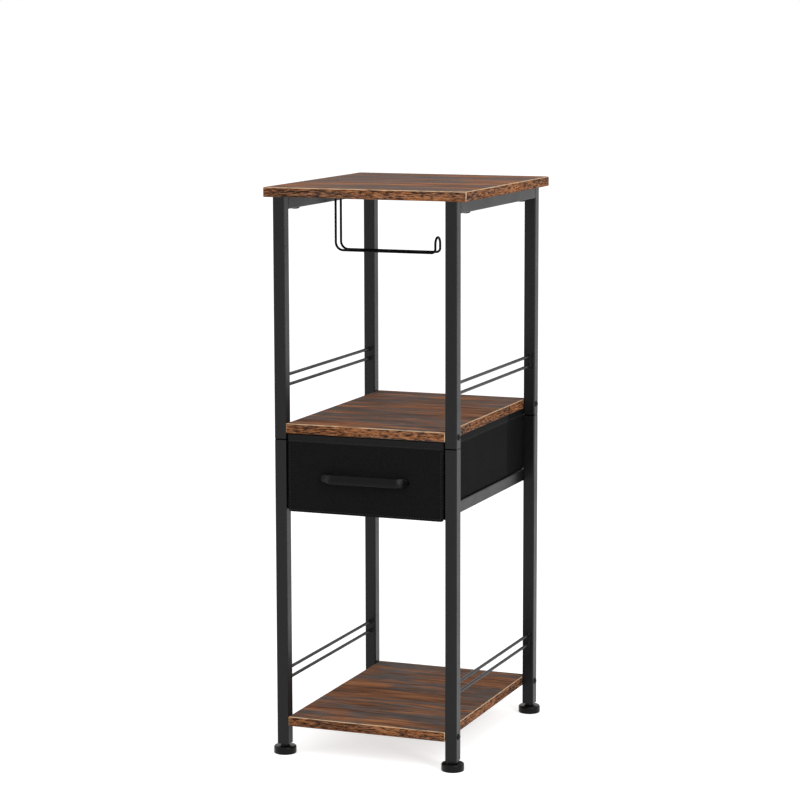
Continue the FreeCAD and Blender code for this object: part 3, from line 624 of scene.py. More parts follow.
def front_relief(x, z, low, high, cloth):
    """How far the drawer front's cloth stands proud of its board at a place.

    A soft swell in the middle, a slow ripple, a raised hem along the top, a furrow along the border seam and
    a hollow round each foot of the handle.
    """
    foot_inset, hollow_length, hollow_radius = 0.0055, 1.3, 0.009
    half, _, rise = (high - low) / 2
    middle = (high[2] + low[2]) / 2
    foot_x, foot_z = box_of("drawer_handle")[1][0] - foot_inset, middle_of("drawer_handle")[2]
    swell = cloth.swell * (1 - (x / half) ** 2) * (1 - ((z - middle) / rise) ** 2)
    ripple = cloth.ripple * sum(share * np.sin(turns_x * x + turns_z * z + phase)
                                for turns_x, turns_z, phase, share in CLOTH_WAVES)
    over_x = np.abs(x) - (half - cloth.corner)
    over_z = low[2] + cloth.corner - z
    outside = np.hypot(np.maximum(over_x, 0.0), np.maximum(over_z, 0.0)) - cloth.corner
    inset = -(outside + np.minimum(np.maximum(over_x, over_z), 0.0))
    below_hem = 1 - smooth_step(z, high[2] - cloth.hem, cloth.seam_width)
    furrow = cloth.seam_depth * np.exp(-((inset - cloth.seam_inset) / cloth.seam_width) ** 2) * below_hem
    hem = cloth.hem_rise * (1 - below_hem)
    from_foot = np.hypot((np.abs(x) - foot_x) / hollow_length, z - foot_z)
    hollow = cloth.swell * np.exp(-(from_foot / hollow_radius) ** 2)
    return np.maximum(swell + ripple + hem - furrow - hollow, -cloth.seam_depth)


def drawer_front_grid(low, high, cloth):
    """The cloth-covered drawer front, a rounded thin rectangle carried up along Z.

    Its half width follows the round of the lower corners, its half thickness the round of the rim, and the
    relief is added on the face to the front. The first and the last row are drawn into a line and close the
    ends.
    """
    row_height = 0.0011
    share_x, share_y, out_x, out_y = rounded_loop(steps_x=170, steps_y=3, steps_arc=6)
    half, depth = (high[:2] - low[:2]) / 2
    climb = cloth.corner * (1 - np.cos(np.linspace(0.0, QUARTER, 16)))
    rim = cloth.edge * (1 - np.cos(np.linspace(0.0, QUARTER, 7)))
    hem_rows = high[2] - cloth.hem + np.linspace(-1.0, 1.0, 9) * cloth.seam_width
    body_rows = np.arange(low[2] + cloth.corner, high[2] - cloth.edge, row_height)
    z = np.unique(np.concatenate([low[2] + climb, body_rows, hem_rows, high[2] - rim]))
    half_x = half - arc_inset(z - low[2], cloth.corner) - arc_inset(high[2] - z, cloth.edge)
    half_y = depth - arc_inset(z - low[2], cloth.edge) - arc_inset(high[2] - z, cloth.edge)
    z, half_x = np.pad(z, 1, "edge")[:, None], np.pad(half_x, 1, "edge")[:, None]
    half_y = np.pad(half_y, 1)[:, None]
    radius = np.minimum(cloth.edge, half_y)
    x = share_x * (half_x - radius) + out_x * radius
    y = share_y * (half_y - radius) + out_y * radius
    face = np.clip(-out_y, 0.0, 1.0) * (half_y > 0)
    thinned = 1 - cloth.sunk / (2 * depth)
    y = high[1] - depth * thinned + y * thinned - face * front_relief(x, z, low, high, cloth)
    round_length = length_along(share_x * half, share_y * depth)
    return points(x, y, z, round_length, z)


def drawer_box_profile(low, high, cloth):
    """The section of the drawer box, from the middle of its underside up the wall and back inside.

    Columns: inset from the outline, height, share of the way to the middle line, how much the wall bows.
    """
    wall, rise, edge = cloth.wall, cloth.hem_rise, cloth.edge
    floor, top = low[2], high[2]
    hem_foot = top - cloth.hem
    crown = (wall + 2 * rise) / 2
    fold = 0.0004

    def run(inset, height, share=0.0, steps=2):
        ends = [np.linspace(*pair, steps) if isinstance(pair, tuple) else np.full(steps, pair)
                for pair in (inset, height, share, 0.0)]
        return np.stack(ends, axis=-1)

    def bend(centre, radius, start, end, steps):
        return np.pad(round_turn(centre, radius, start, end, steps), ((0, 0), (0, 2)))

    up = np.linspace(floor + edge, hem_foot - rise, 30)
    outer = points(0.0, up, 0.0, np.sin(np.pi * (up - floor) / (top - floor)))
    inner = outer[::-1] + [wall, 0.0, 0.0, 0.0]
    inner[:, 1] = np.maximum(inner[:, 1], floor + wall + fold)
    return np.concatenate([
        run(edge, floor, (1.0, 0.0), 7),
        bend((edge, floor + edge), edge, 270, 180, 6),
        outer,
        run((0.0, -rise), (hem_foot - rise, hem_foot + rise), steps=4),
        run(-rise, (hem_foot + rise, top - crown), steps=8),
        bend((wall / 2, top - crown), crown, 180, 0, 11),
        run(wall + rise, (top - crown, hem_foot + rise), steps=8),
        run((wall + rise, wall), (hem_foot + rise, hem_foot - rise), steps=4),
        inner,
        run((wall, wall + fold), (floor + wall + fold, floor + wall)),
        run(wall + fold, floor + wall, (0.0, 1.0), 7),
    ])


def drawer_box_grid(low, high, cloth):
    """The sewn box: its section carried round a rounded rectangle.

    Each wall bows and ripples a little between its ends, by the sum of a slow and a quick wave, and a furrow
    marks the seam beside each upright corner.
    """
    calm, corner_seam, measured_row = 0.03, 0.009, -20
    share_x, share_y, out_x, out_y = rounded_loop(steps_x=90, steps_y=140, steps_arc=7)
    half_x, half_y = (high[:2] - low[:2]) / 2
    middle = (high[:2] + low[:2]) / 2
    inset, height, pull, bow = (column[:, None] for column in drawer_box_profile(low, high, cloth).T)
    on_side = np.abs(out_x) > np.abs(out_y)
    share, half = np.where(on_side, share_y, share_x), np.where(on_side, half_y, half_x)
    along = share * half
    from_corner = (1 - np.abs(share)) * half
    slow = 0.6 * np.sin(along * 43.0 + 0.6)
    quick = 0.4 * np.sin(along * 103.0 + 2.1 * out_x + 0.8 * out_y)
    proud = cloth.wall_bow * bow * (0.55 + 0.45 * (slow + quick)) * np.clip(from_corner / calm, 0.0, 1.0)
    seam = from_corner - np.where(on_side & (share_y > 0), cloth.panel, corner_seam)
    furrow = cloth.seam_depth * np.exp(-(seam / cloth.seam_width) ** 2) * bow
    reach = cloth.box_corner - inset + proud - furrow
    x = share_x * (half_x - cloth.box_corner) + out_x * reach
    y = share_y * (half_y - cloth.box_corner) + out_y * reach
    spine = np.clip(y, half_x - half_y, half_y - half_x)
    x = x * (1 - pull)
    y = y + (spine - y) * pull
    round_length = length_along(x[measured_row], y[measured_row])
    steps_up = np.hypot(np.diff(inset, axis=0, prepend=0), np.diff(height, axis=0, prepend=height[:1]))
    up_length = np.cumsum(steps_up + np.abs(np.diff(pull, axis=0, prepend=1.0)) * half_x)[:, None]
    return points(x + middle[0], y + middle[1], height, round_length, up_length)


def stitch_shape(cloth):
    """One stitch along X: a thread that rises from the cloth, lies on it and dips in again.

    It falls with the square of the way from its middle, and its radius shrinks to nothing at both ends.
    """
    crest, fall = 0.35, 0.7
    share = np.linspace(-1.0, 1.0, 6)[:, None]
    radius = cloth.thread / 2 * np.sqrt(np.maximum(1 - share ** 4, 0.0))
    arch = cloth.thread * (crest - fall * share ** 2)
    across, up = circles(radius, around(6))
    return points(share * cloth.stitch / 2, across, up + arch)


def stitch_places(start, end, pitch):
    """Evenly spaced places from start to end, a pitch apart, half a pitch in from both."""
    count = max(2, int(round((end - start) / pitch)))
    return start + (np.arange(count) + 0.5) * (end - start) / count


def front_stitches(low, high, cloth):
    """Stitches on the drawer front: one row along the hem, one down, round and up along the border.

    Each row holds X, Z and the stitches' lean.
    """
    above_hem = 0.0016
    half = (high[0] - low[0]) / 2
    inset = cloth.seam_inset - 2 * cloth.seam_width
    bend, straight = cloth.corner - inset, half - cloth.corner
    hem_z = high[2] - cloth.hem + above_hem
    rows = [points(stitch_places(-half + inset, half - inset, cloth.pitch), hem_z, 0.0)]
    side_z = stitch_places(low[2] + cloth.corner, hem_z - cloth.pitch, cloth.pitch)
    turn = stitch_places(0.0, QUARTER, cloth.pitch / bend)
    for side in (-1, 1):
        rows.append(points(side * (half - inset), side_z, QUARTER))
        rows.append(points(side * (straight + bend * np.cos(turn)),
                           low[2] + cloth.corner - bend * np.sin(turn), side * (QUARTER - turn)))
    rows.append(points(stitch_places(-straight, straight, cloth.pitch), low[2] + inset, 0.0))
    x, z, lean = np.concatenate(rows).T
    y = low[1] + cloth.sunk - front_relief(x, z, low, high, cloth)
    run = points(np.cos(lean), 0.0, np.sin(lean))
    return placed(stitch_shape(cloth), points(x, y, z), run, np.cross(-Y, run), -Y)


def box_stitches(low, high, cloth):
    """Stitches round the drawer box's hem, on its two sides and its back."""
    above_hem, from_end = 0.0018, 0.006
    shape = stitch_shape(cloth)
    hem_z = high[2] - cloth.hem + above_hem
    side_y = stitch_places(low[1] + from_end, high[1] - from_end, cloth.pitch)
    back_x = stitch_places(low[0] + from_end, high[0] - from_end, cloth.pitch)
    rows = (
        (points(low[0] - cloth.hem_rise, side_y, hem_z), Y, -X),
        (points(high[0] + cloth.hem_rise, side_y, hem_z), Y, X),
        (points(back_x, high[1] + cloth.hem_rise, hem_z), X, Y),
    )
    return [placed(shape, centres, run, np.cross(out, run), out) for centres, run, out in rows]


def handle_grid(low, high, sizes):
    """The bow handle: a rounded band between an inner and an outer line, seen from above.

    Both lines are flat in the middle and slope back to the drawer with soft bends. The outer slope eases off
    towards the tip, and the inner line runs along the drawer to it, which makes the foot. The height shrinks
    along an arc at each tip, and the front falls back with the square of the height above a crest below its
    middle.
    """
    bend_slope, foot_slope, inner_slope = 0.85, 0.64, 3.6
    bend_soft, foot_soft, inner_soft = 0.0016, 0.0008, 0.0024
    outer_start, inner_start, tip_inset = 0.004, 0.006, 0.0012
    bend_at, foot_at, tip_run = 0.7, 0.9, 0.1
    crest, fullest_round = 0.5, 0.98
    half, _, tall = (high - low) / 2
    reach = high[1] - low[1]
    gap = reach - sizes.handle_band
    rest = half - sizes.handle_rest
    bend = sizes.handle_flat / 2
    knots = (0.0, bend_at, foot_at, 1.0)
    walk = np.concatenate([np.linspace(0.0, bend_at, 40), np.linspace(bend_at, foot_at, 24)[1:],
                           np.linspace(foot_at, 1.0, 14)[1:]])
    outer_x = np.interp(walk, knots, [0.0, bend - outer_start, half - tip_inset, half])
    slope = reach - (outer_x - bend) * bend_slope
    foot = sizes.handle_tip + (half - outer_x) * foot_slope
    outer = soft_least(reach, -soft_least(-slope, -foot, foot_soft), bend_soft)
    tip_share = np.clip((walk - foot_at) / tip_run, 0.0, 1.0)
    outer = (outer + (reach - outer[0])) * np.sqrt(np.maximum(1 - tip_share ** 2, 0.0))
    inner_x = np.interp(walk, knots, [0.0, bend - inner_start, rest, half])
    inner = soft_least(gap, (rest - inner_x) * inner_slope, inner_soft)
    inner = np.maximum(inner + (gap - inner[0]), 0.0) * (walk < foot_at)
    height = tall - arc_inset(np.maximum(half - outer_x, 0.0), sizes.handle_end)
    outer_x, outer, inner_x, inner, height = (
        np.concatenate([sign * line[:0:-1], line])[:, None]
        for line, sign in ((outer_x, -1), (outer, 1), (inner_x, -1), (inner, 1), (height, 1)))
    share_z, share_w, out_z, out_w = rounded_loop(steps_x=8, steps_y=8, steps_arc=6)
    width = np.hypot(outer_x - inner_x, outer - inner) / 2
    radius = np.minimum(sizes.handle_round, np.minimum(width, height) * fullest_round)
    outward = (share_w * (width - radius) + out_w * radius) / np.maximum(width, 1e-9)
    x = (outer_x + inner_x) / 2 + (outer_x - inner_x) / 2 * outward
    y = (outer + inner) / 2 + (outer - inner) / 2 * outward
    z = share_z * (height - radius) + out_z * radius
    y = y - sizes.handle_dome * ((z / tall + crest) / (1 + crest)) ** 2 * np.clip(outward, 0.0, 1.0)
    middle = (low + high) / 2
    return points(x + middle[0], high[1] - y, z + middle[2])


def screw_shape(head_radius, head_height, length, sizes):
    """A button head screw along Z with the underside of its head at zero.

    The profile is turned about Z. Inside the socket the radius follows a hexagon: its half width over the
    cosine of the angle from the middle of each side.
    """
    rim_share, dome_end, deepest_share, mouth_share, mouth_drop = 0.3, 66, 0.75, 1.32, 0.0001
    shank, socket = sizes.shank / 2, sizes.socket
    bevel = 0.2 * shank
    rim = rim_share * head_height
    dome = round_turn((0.0, 0.0), 1.0, 0, dome_end, 9)
    dome = dome * [head_radius, (head_height - rim) / math.sin(math.radians(dome_end))] + [0.0, rim]
    bottom = head_height - min(sizes.socket_depth, deepest_share * head_height)
    plain = np.concatenate([
        [(0.0, -length), (shank - bevel, -length), (shank, bevel - length), (shank, 0.0), (head_radius, 0.0)],
        dome,
        [(socket * mouth_share, head_height)],
    ])
    hexagon = np.array([(socket, head_height - mouth_drop), (socket, bottom), (0.0, bottom)])
    turn = around(36)
    side = np.pi / 3
    six = 1 / np.cos((turn + side / 2) % side - side / 2)
    radius = np.concatenate([plain[:, :1] * np.ones_like(turn), hexagon[:, :1] * six])
    return points(*circles(radius, turn), np.concatenate([plain[:, 1:], hexagon[:, 1:]]))


def screw_group(name, centres, outward, shape, body, material):
    """Like screws at their places, heads pointing outward, in place of the node of the same name."""
    centres = np.array(centres, dtype=float)
    out = np.broadcast_to(np.array(outward, dtype=float), centres.shape)
    across = np.cross(out, np.where(np.abs(out[:, 2:]) > 0.5, X, Z))
    grid = placed(shape, centres, across, np.cross(out, across), out)
    build_piece(name + "_heads", [grid], material, body, [name])


def foot_pad_profile(low, high, sizes):
    """Half section of a foot's pad: rounded sole and shoulder, neck and the seat of the stud's head."""
    edge, shoulder, neck_foot, neck_rim = 0.0009, 0.0022, 0.0012, 0.0006
    radius = (high[0] - low[0]) / 2
    top, neck, sole = sizes.pad_height, sizes.pad_neck, sizes.pad_sole
    head_top = sole + sizes.stud_head
    return np.concatenate([
        [(0.0, 0.0)],
        round_turn((radius - edge, edge), edge, 270, 360, 5),
        round_turn((radius - shoulder, top - shoulder), shoulder, 0, 84, 9),
        round_turn((neck + neck_foot, top + neck_foot), neck_foot, 270, 180, 5),
        round_turn((neck - neck_rim, high[2] - neck_rim), neck_rim, 0, 90, 4),
        [(sizes.stud / 2, high[2]), (sizes.stud / 2, head_top), (sizes.stud_seat, head_top),
         (sizes.stud_seat, sole), (0.0, sole)],
    ])


def threaded_stud(low, high, sizes):
    """A stud with a thread: the radius falls and rises as a zigzag of height less a share of the turn."""
    plain_neck, thread_start, thread_end, tip, end_share = 0.0025, 0.001, 0.0015, 0.0006, 0.3
    head_radius, stud = (high[0] - low[0]) / 2, sizes.stud / 2
    start = low[2] + sizes.stud_head
    turn = around(24)
    height = np.arange(start, high[2] - tip, sizes.thread_pitch / 6)[:, None]
    phase = (height - start) / sizes.thread_pitch - turn / FULL_TURN
    zigzag = np.abs((phase % 1.0) * 2 - 1)
    fade = (np.clip((height - start - plain_neck) / thread_start, 0.0, 1.0)
            * np.clip((high[2] - height) / thread_end, end_share, 1.0))
    thread = stud - sizes.thread_depth * zigzag * fade
    head = np.array([(0.0, low[2]), (head_radius, low[2]), (head_radius, start), (stud, start)])
    end = np.array([(stud - sizes.thread_depth, high[2]), (0.0, high[2])])
    even = np.ones_like(turn)
    radius = np.concatenate([head[:, :1] * even, thread, end[:, :1] * even])
    return points(*circles(radius, turn), np.concatenate([head[:, 1:], height, end[:, 1:]]))


def rod_grid(low, high, bead, phase):
    """A guard rod along Y with a weld bead at each end.

    The radius is the rod's own plus a bead that falls off with the square of the distance from the leg and
    swells a little in lumps round the rod. The ends are drawn into the axis and closed.
    """
    bead_length, rows_length, crowding = 2.0 * bead, 2.2 * bead, 1.3
    radius = (high[2] - low[2]) / 2
    near = rows_length * np.linspace(0.0, 1.0, 9) ** crowding
    shaft = np.linspace(low[1] + near[-1], high[1] - near[-1], 5)[1:-1]
    y = np.concatenate([low[1] + near, shaft, high[1] - near[::-1]])[:, None]
    turn = around(24)
    from_end = np.minimum(y - low[1], high[1] - y)
    fall = np.clip(1 - from_end / bead_length, 0.0, 1.0) ** 2
    lumps = 1 + 0.18 * np.sin(3 * turn + phase) + 0.1 * np.sin(7 * turn + 2 * phase)
    closed = ((1, 1), (0, 0))
    x, z = circles(np.pad(radius + bead * fall * lumps, closed), turn)
    middle_x, _, middle_z = (low + high) / 2
    return points(middle_x + x, np.pad(y, closed, "edge"), middle_z + z)


def bead_shape(length, bead):
    """A weld bead along X: a ridge with even ripples, whose radius shrinks to nothing at both ends."""
    ripple_height, ripple_turns = 0.10, 2.4
    share = np.linspace(-1.0, 1.0, 33)[:, None]
    ripple = 1 + ripple_height * np.cos(share * length / bead * ripple_turns)
    radius = bead * np.sqrt(np.maximum(1 - share ** 6, 0.0)) * ripple
    return points(share * length / 2, *circles(radius, around(10)))


def frame_weld_grids(bead):
    """Beads that fill the joints of the frame.

    At each leg top one bead stands beside the rail on both faces and one lies under it. At each leg two beads
    lie along the drawer runner, above and below.
    """
    thin = 0.8 * bead
    into_face, into_joint, into_runner = 0.72 * bead, 0.55 * bead, 0.75 * bead
    beside_share, under_share, runner_share = 0.96, 0.9, 0.94
    grids = []
    for name in ("left", "right"):
        rail_low, rail_high = box_of(f"top_rail_{name}")
        run_low, run_high = box_of(f"drawer_runner_{name}")
        rail_middle = middle_of(f"top_rail_{name}")
        tall = rail_high[2] - rail_low[2]
        faces = np.array([rail_low[0] + into_face, rail_high[0] - into_face])
        for end, toward in ((rail_low[1], -1.0), (rail_high[1], 1.0)):
            beside = points(faces, end + toward * into_joint, rail_middle[2])
            grids.append(placed(bead_shape(tall * beside_share, bead), beside, Z, Y, -X))
            under = np.array([[rail_middle[0], end, rail_low[2]]])
            grids.append(placed(bead_shape(tall * under_share, thin), under, X, Y, Z))
        outward = np.sign(rail_middle[0])
        side = run_high[0] if outward > 0 else run_low[0]
        heights = np.array([run_low[2] + into_runner, run_high[2] - into_runner])
        for corner in ("front", "back"):
            leg_low, leg_high = box_of(f"lower_leg_{corner}_{name}")
            start, end = max(run_low[1], leg_low[1]), min(run_high[1], leg_high[1])
            along = points(side - outward * into_joint, (start + end) / 2, heights)
            grids.append(placed(bead_shape((end - start) * runner_share, thin), along, Y, Z, X))
    return grids


def holder_wire_grid(low, high, plate_under, sizes):
    """The roll holder: a circle carried along one hairpin of wire.

    Down from the plate, round the heel, along the arm, round the toe, up, over a half circle and back the
    same way.
    """
    radius = sizes.wire / 2
    drop_x, front_y, arm_z = low + radius
    tip_x, back_y, _ = high - radius
    half = (back_y - front_y) / 2
    turn_z = arm_z + sizes.wire_rise - half
    heel = round_turn((drop_x + sizes.wire_heel, arm_z + sizes.wire_heel), sizes.wire_heel, 180, 270, 14)
    toe = round_turn((tip_x - sizes.wire_toe, arm_z + sizes.wire_toe), sizes.wire_toe, 270, 360, 12)
    drop = points(drop_x, np.linspace(plate_under, heel[0, 1], 13)[:-1])
    arm = points(np.linspace(heel[-1, 0], toe[0, 0], 20)[1:-1], arm_z)
    rise = points(tip_x, np.linspace(toe[-1, 1], turn_z, 7)[1:-1])
    side = np.concatenate([drop, heel, arm, toe, rise])
    loop = round_turn(((front_y + back_y) / 2, turn_z), half, 180, 0, 31)
    out = points(side[:, 0], front_y, side[:, 1])
    over = points(tip_x, loop[:, 0], loop[:, 1])
    back = points(side[::-1, 0], back_y, side[::-1, 1])
    path = np.concatenate([out, over, back])
    level = np.zeros(len(side) - len(rise))
    lift = np.linspace(0.0, 1.0, len(rise) + 2)[1:-1]
    twist = np.concatenate([level, lift, np.ones(len(loop)), lift[::-1], level]) * QUARTER
    grid = tube(path, points(np.sin(twist), np.cos(twist), 0.0), radius, 16)
    ends = np.broadcast_to(path[[0, -1]][:, None], (2, grid.shape[1], 3))
    return np.concatenate([ends[:1], grid, ends[1:]])


class StandOperator(bpy.types.Operator):
    """Common settings of the stand's operators."""

    bl_options = {"REGISTER", "UNDO"}


class STAND_OT_boards(StandOperator):
    """Finish the three boards in rustic brown laminate"""

    bl_idname = "stand.boards"
    bl_label = "Boards"

    def execute(self, context):
        for node, shift in BOARD_SHIFTS.items():
            paint([node], laminate(node + "_laminate", context.scene.stand_colours, shift))
        return {"FINISHED"}


class STAND_OT_steel(StandOperator):
    """Powder coat the tubes and the roll holder's plate"""

    bl_idname = "stand.steel"
    bl_label = "Steel Frame"

    def execute(self, context):
        coat = powder_coat("tube_powder_coat", context.scene.stand_colours.steel, roughness=0.34)
        paint(nodes_in("steel_tube"), coat)
        return {"FINISHED"}


class STAND_OT_welds(StandOperator):
    """Lay weld beads in the joints of the frame"""

    bl_idname = "stand.welds"
    bl_label = "Welds"

    def execute(self, context):
        grids = frame_weld_grids(context.scene.stand_hardware.bead)
        build_piece("frame_welds", grids, bpy.data.materials["tube_powder_coat"], "frame")
        return {"FINISHED"}


class STAND_OT_rods(StandOperator):
    """Make the guard rods, each with its two weld beads"""

    bl_idname = "stand.rods"
    bl_label = "Guard Rods"

    def execute(self, context):
        lump_turn = 1.7
        coat = powder_coat("bar_powder_coat", context.scene.stand_colours.steel, roughness=0.36)
        rods = [node for node in nodes_in("steel_wire") if "guard_rod" in node]
        for number, node in enumerate(rods):
            grid = rod_grid(*box_of(node), context.scene.stand_hardware.bead, lump_turn * number)
            build_piece(node + "_welded", [grid], coat, "frame", [node])
        return {"FINISHED"}


class STAND_OT_roll_holder(StandOperator):
    """Bend the roll holder's wire"""

    bl_idname = "stand.roll_holder"
    bl_label = "Roll Holder"

    def execute(self, context):
        plate_under = box_of("roll_holder_plate")[0][2]
        grid = holder_wire_grid(*box_of("roll_holder_wire"), plate_under, context.scene.stand_hardware)
        coat = powder_coat("wire_powder_coat", context.scene.stand_colours.wire, roughness=0.34, shine=0.051)
        build_piece("roll_holder_hairpin", [grid], coat, "frame", ["roll_holder_wire"])
        return {"FINISHED"}


class STAND_OT_screws(StandOperator):
    """Make the screws with button heads and hexagon sockets"""

    bl_idname = "stand.screws"
    bl_label = "Screws"

    def execute(self, context):
        sizes = context.scene.stand_hardware
        black = satin_black("screw_black", context.scene.stand_colours.screw, roughness=0.36, grain=1600.0)
        leg_face = box_of("upper_leg_front_right")[1][0]
        for node in ("middle_shelf_screws", "bottom_shelf_screws"):
            low, high = box_of(node)
            head = (high[2] - low[2]) / 2
            centres = [(side * leg_face, y, low[2] + head) for side in (-1, 1)
                       for y in (low[1] + head, high[1] - head)]
            outward = [(side, 0.0, 0.0) for side in (-1, -1, 1, 1)]
            shape = screw_shape(head, high[0] - leg_face, sizes.side_screw, sizes)
            screw_group(node, centres, outward, shape, "frame", black)
        rail_x, plate_x = middle_of("top_rail_right")[0], middle_of("roll_holder_screws")[0]
        for node, seat, columns in (("top_shelf_screws", "top_rail_left", (-rail_x, rail_x)),
                                    ("roll_holder_screws", "roll_holder_plate", (plate_x,))):
            low, high = box_of(node)
            under = box_of(seat)[0][2]
            head = high[0] - columns[-1]
            centres = [(x, y, under) for x in columns for y in (low[1] + head, high[1] - head)]
            shape = screw_shape(head, under - low[2], high[2] - under, sizes)
            screw_group(node, centres, -Z, shape, "frame", black)
        low, high = box_of("drawer_handle_screws")
        head = (high[2] - low[2]) / 2
        seat = box_of("drawer_box")[0][1] + context.scene.stand_cloth.wall
        centres = [(x, seat, low[2] + head) for x in (low[0] + head, high[0] - head)]
        shape = screw_shape(head, high[1] - seat, seat - low[1], sizes)
        screw_group("drawer_handle_screws", centres, Y, shape, "drawer", black)
        return {"FINISHED"}


class STAND_OT_feet(StandOperator):
    """Make the four levelling feet: rounded pads and threaded studs"""

    bl_idname = "stand.feet"
    bl_label = "Levelling Feet"

    def execute(self, context):
        sizes = context.scene.stand_hardware
        colours = context.scene.stand_colours
        plastic = satin_black("pad_plastic", colours.foot, roughness=0.30, grain=1500.0, shine=0.13)
        zinc = plated("stud_zinc", colours.zinc, roughness=0.34)
        for corner in CORNERS:
            body, pad, stud = (f"{kind}_{corner}" for kind in ("foot", "foot_pad", "foot_stud"))
            axis = middle_of(pad) * (X + Y)
            drum = revolved(foot_pad_profile(*box_of(pad), sizes), steps=64) + axis
            build_piece(pad + "_moulded", [drum], plastic, body, [pad])
            thread = threaded_stud(*box_of(stud), sizes) + axis
            build_piece(stud + "_threaded", [thread], zinc, body, [stud])
        return {"FINISHED"}


class STAND_OT_drawer_front(StandOperator):
    """Cover the drawer front with hemmed cloth"""

    bl_idname = "stand.drawer_front"
    bl_label = "Drawer Front"

    def execute(self, context):
        sizes = context.scene.stand_cloth
        low, high = box_of("drawer_front_cover")
        # Where the painted shade on the box's sides begins.
        seam_y = box_of("drawer_box")[1][1] - sizes.panel
        cloth = black_cloth("drawer_cloth", context.scene.stand_colours.cloth, high[2] - sizes.hem, seam_y)
        grid = drawer_front_grid(low, high, sizes)
        build_piece("drawer_front_cloth", [grid], cloth, "drawer", ["drawer_front_cover"])
        return {"FINISHED"}


class STAND_OT_drawer_box(StandOperator):
    """Sew the drawer's box"""

    bl_idname = "stand.drawer_box"
    bl_label = "Drawer Box"

    def execute(self, context):
        sizes = context.scene.stand_cloth
        low, high = box_of("drawer_box")
        grid = drawer_box_grid(low, high + Z * sizes.hem_lift, sizes)
        cloth = bpy.data.materials["drawer_cloth"]
        build_piece("drawer_box_cloth", [grid], cloth, "drawer", ["drawer_box"])
        return {"FINISHED"}


class STAND_OT_stitches(StandOperator):
    """Sew the hems and the border of the drawer"""

    bl_idname = "stand.stitches"
    bl_label = "Stitches"

    def execute(self, context):
        sizes = context.scene.stand_cloth
        thread = satin_black("sewing_thread", context.scene.stand_colours.thread, roughness=0.6, grain=2400.0)
        front = front_stitches(*box_of("drawer_front_cover"), sizes)
        build_piece("drawer_front_stitches", [front], thread, "drawer")
        low, high = box_of("drawer_box")
        hems = box_stitches(low, high + Z * sizes.hem_lift, sizes)
        build_piece("drawer_box_stitches", hems, thread, "drawer")
        return {"FINISHED"}


class STAND_OT_handle(StandOperator):
    """Make the drawer's bow handle"""

    bl_idname = "stand.handle"
    bl_label = "Drawer Handle"

    def execute(self, context):
        # The handle's tips are painted dark: painted shade and dark reflection where the band turns back.
        satin = satin_black("handle_satin", context.scene.stand_colours.handle, roughness=0.20, grain=1300.0,
                            shine=0.12, painted_dark_from=0.0490)
        grid = handle_grid(*box_of("drawer_handle"), context.scene.stand_hardware)
        build_piece("drawer_bow_handle", [grid], satin, "drawer", ["drawer_handle"])
        return {"FINISHED"}


class STAND_OT_inner_pieces(StandOperator):
    """Finish the pieces inside legs, boards and drawer"""

    bl_idname = "stand.inner_pieces"
    bl_label = "Inner Pieces"

    def execute(self, context):
        colours = context.scene.stand_colours
        finishes = {
            "inner_steel": plated("inner_zinc", colours.zinc, roughness=0.38),
            "inner_brass": plated("insert_brass", colours.brass, roughness=0.34),
            "fibreboard": fibreboard("raw_fibreboard", colours.fibre),
            "foot_plastic": satin_black("plug_plastic", colours.foot, roughness=0.45, grain=1100.0),
        }
        for slot, material in finishes.items():
            paint(nodes_in(slot), material)
        return {"FINISHED"}


def add_lamp(name, place, width, height, power):
    """A soft lamp that faces the stand and shows in gloss only."""
    light = bpy.data.lights.new(name, "AREA")
    light.shape = "RECTANGLE"
    light.size, light.size_y = width, height
    light.energy = power
    lamp = bpy.data.objects.new(name, light)
    lamp.visible_camera = False
    lamp.location = place
    lamp.rotation_euler = (Vector(LAMP_TARGET) - Vector(place)).to_track_quat("-Z", "Y").to_euler()
    bpy.context.scene.collection.objects.link(lamp)


def add_camera(stage):
    """The camera at its place, turned and rolled as the stage says."""
    lens = bpy.data.cameras.new("camera")
    lens.sensor_width = SENSOR_WIDTH
    lens.lens = stage.lens
    lens.clip_end = 100.0
    level = math.cos(stage.elevation)
    ahead = Vector((-math.sin(stage.azimuth) * level, math.cos(stage.azimuth) * level,
                    -math.sin(stage.elevation)))
    turn = ahead.to_track_quat("-Z", "Y").to_matrix().to_4x4() @ Matrix.Rotation(stage.roll, 4, "Z")
    camera = bpy.data.objects.new("camera", lens)
    camera.matrix_world = Matrix.Translation(Vector(stage.eye)) @ turn
    bpy.context.scene.collection.objects.link(camera)
    bpy.context.scene.camera = camera


def white_world(ambient):
    """A white surround that gives an even, weaker light."""
    world = bpy.data.worlds.new("studio")
    world.use_nodes = True
    nodes = Nodes(world.node_tree)
    nodes.tree.nodes.clear()
    light, white = (nodes.add("Background", {"Color": WHITE, "Strength": strength}).outputs[0]
                    for strength in (ambient, 1.0))
    mixed = nodes.add("MixShader", {0: nodes.seen_share(), 1: light, 2: white})
    nodes.add("OutputWorld", {"Surface": mixed.outputs[0]})
    bpy.context.scene.world = world


def sole_places():
    """The middle between the feet, the place of one from there and the radius of the flat of a sole."""
    sole_edge = 0.001
    pads = [f"foot_pad_{corner}" for corner in CORNERS]
    centres = np.array([middle_of(pad) for pad in pads]) * (X + Y)
    middle = (centres.min(axis=0) + centres.max(axis=0)) / 2
    low, high = box_of(pads[0])
    return middle, centres.max(axis=0) - middle, (high[0] - low[0]) / 2 - sole_edge


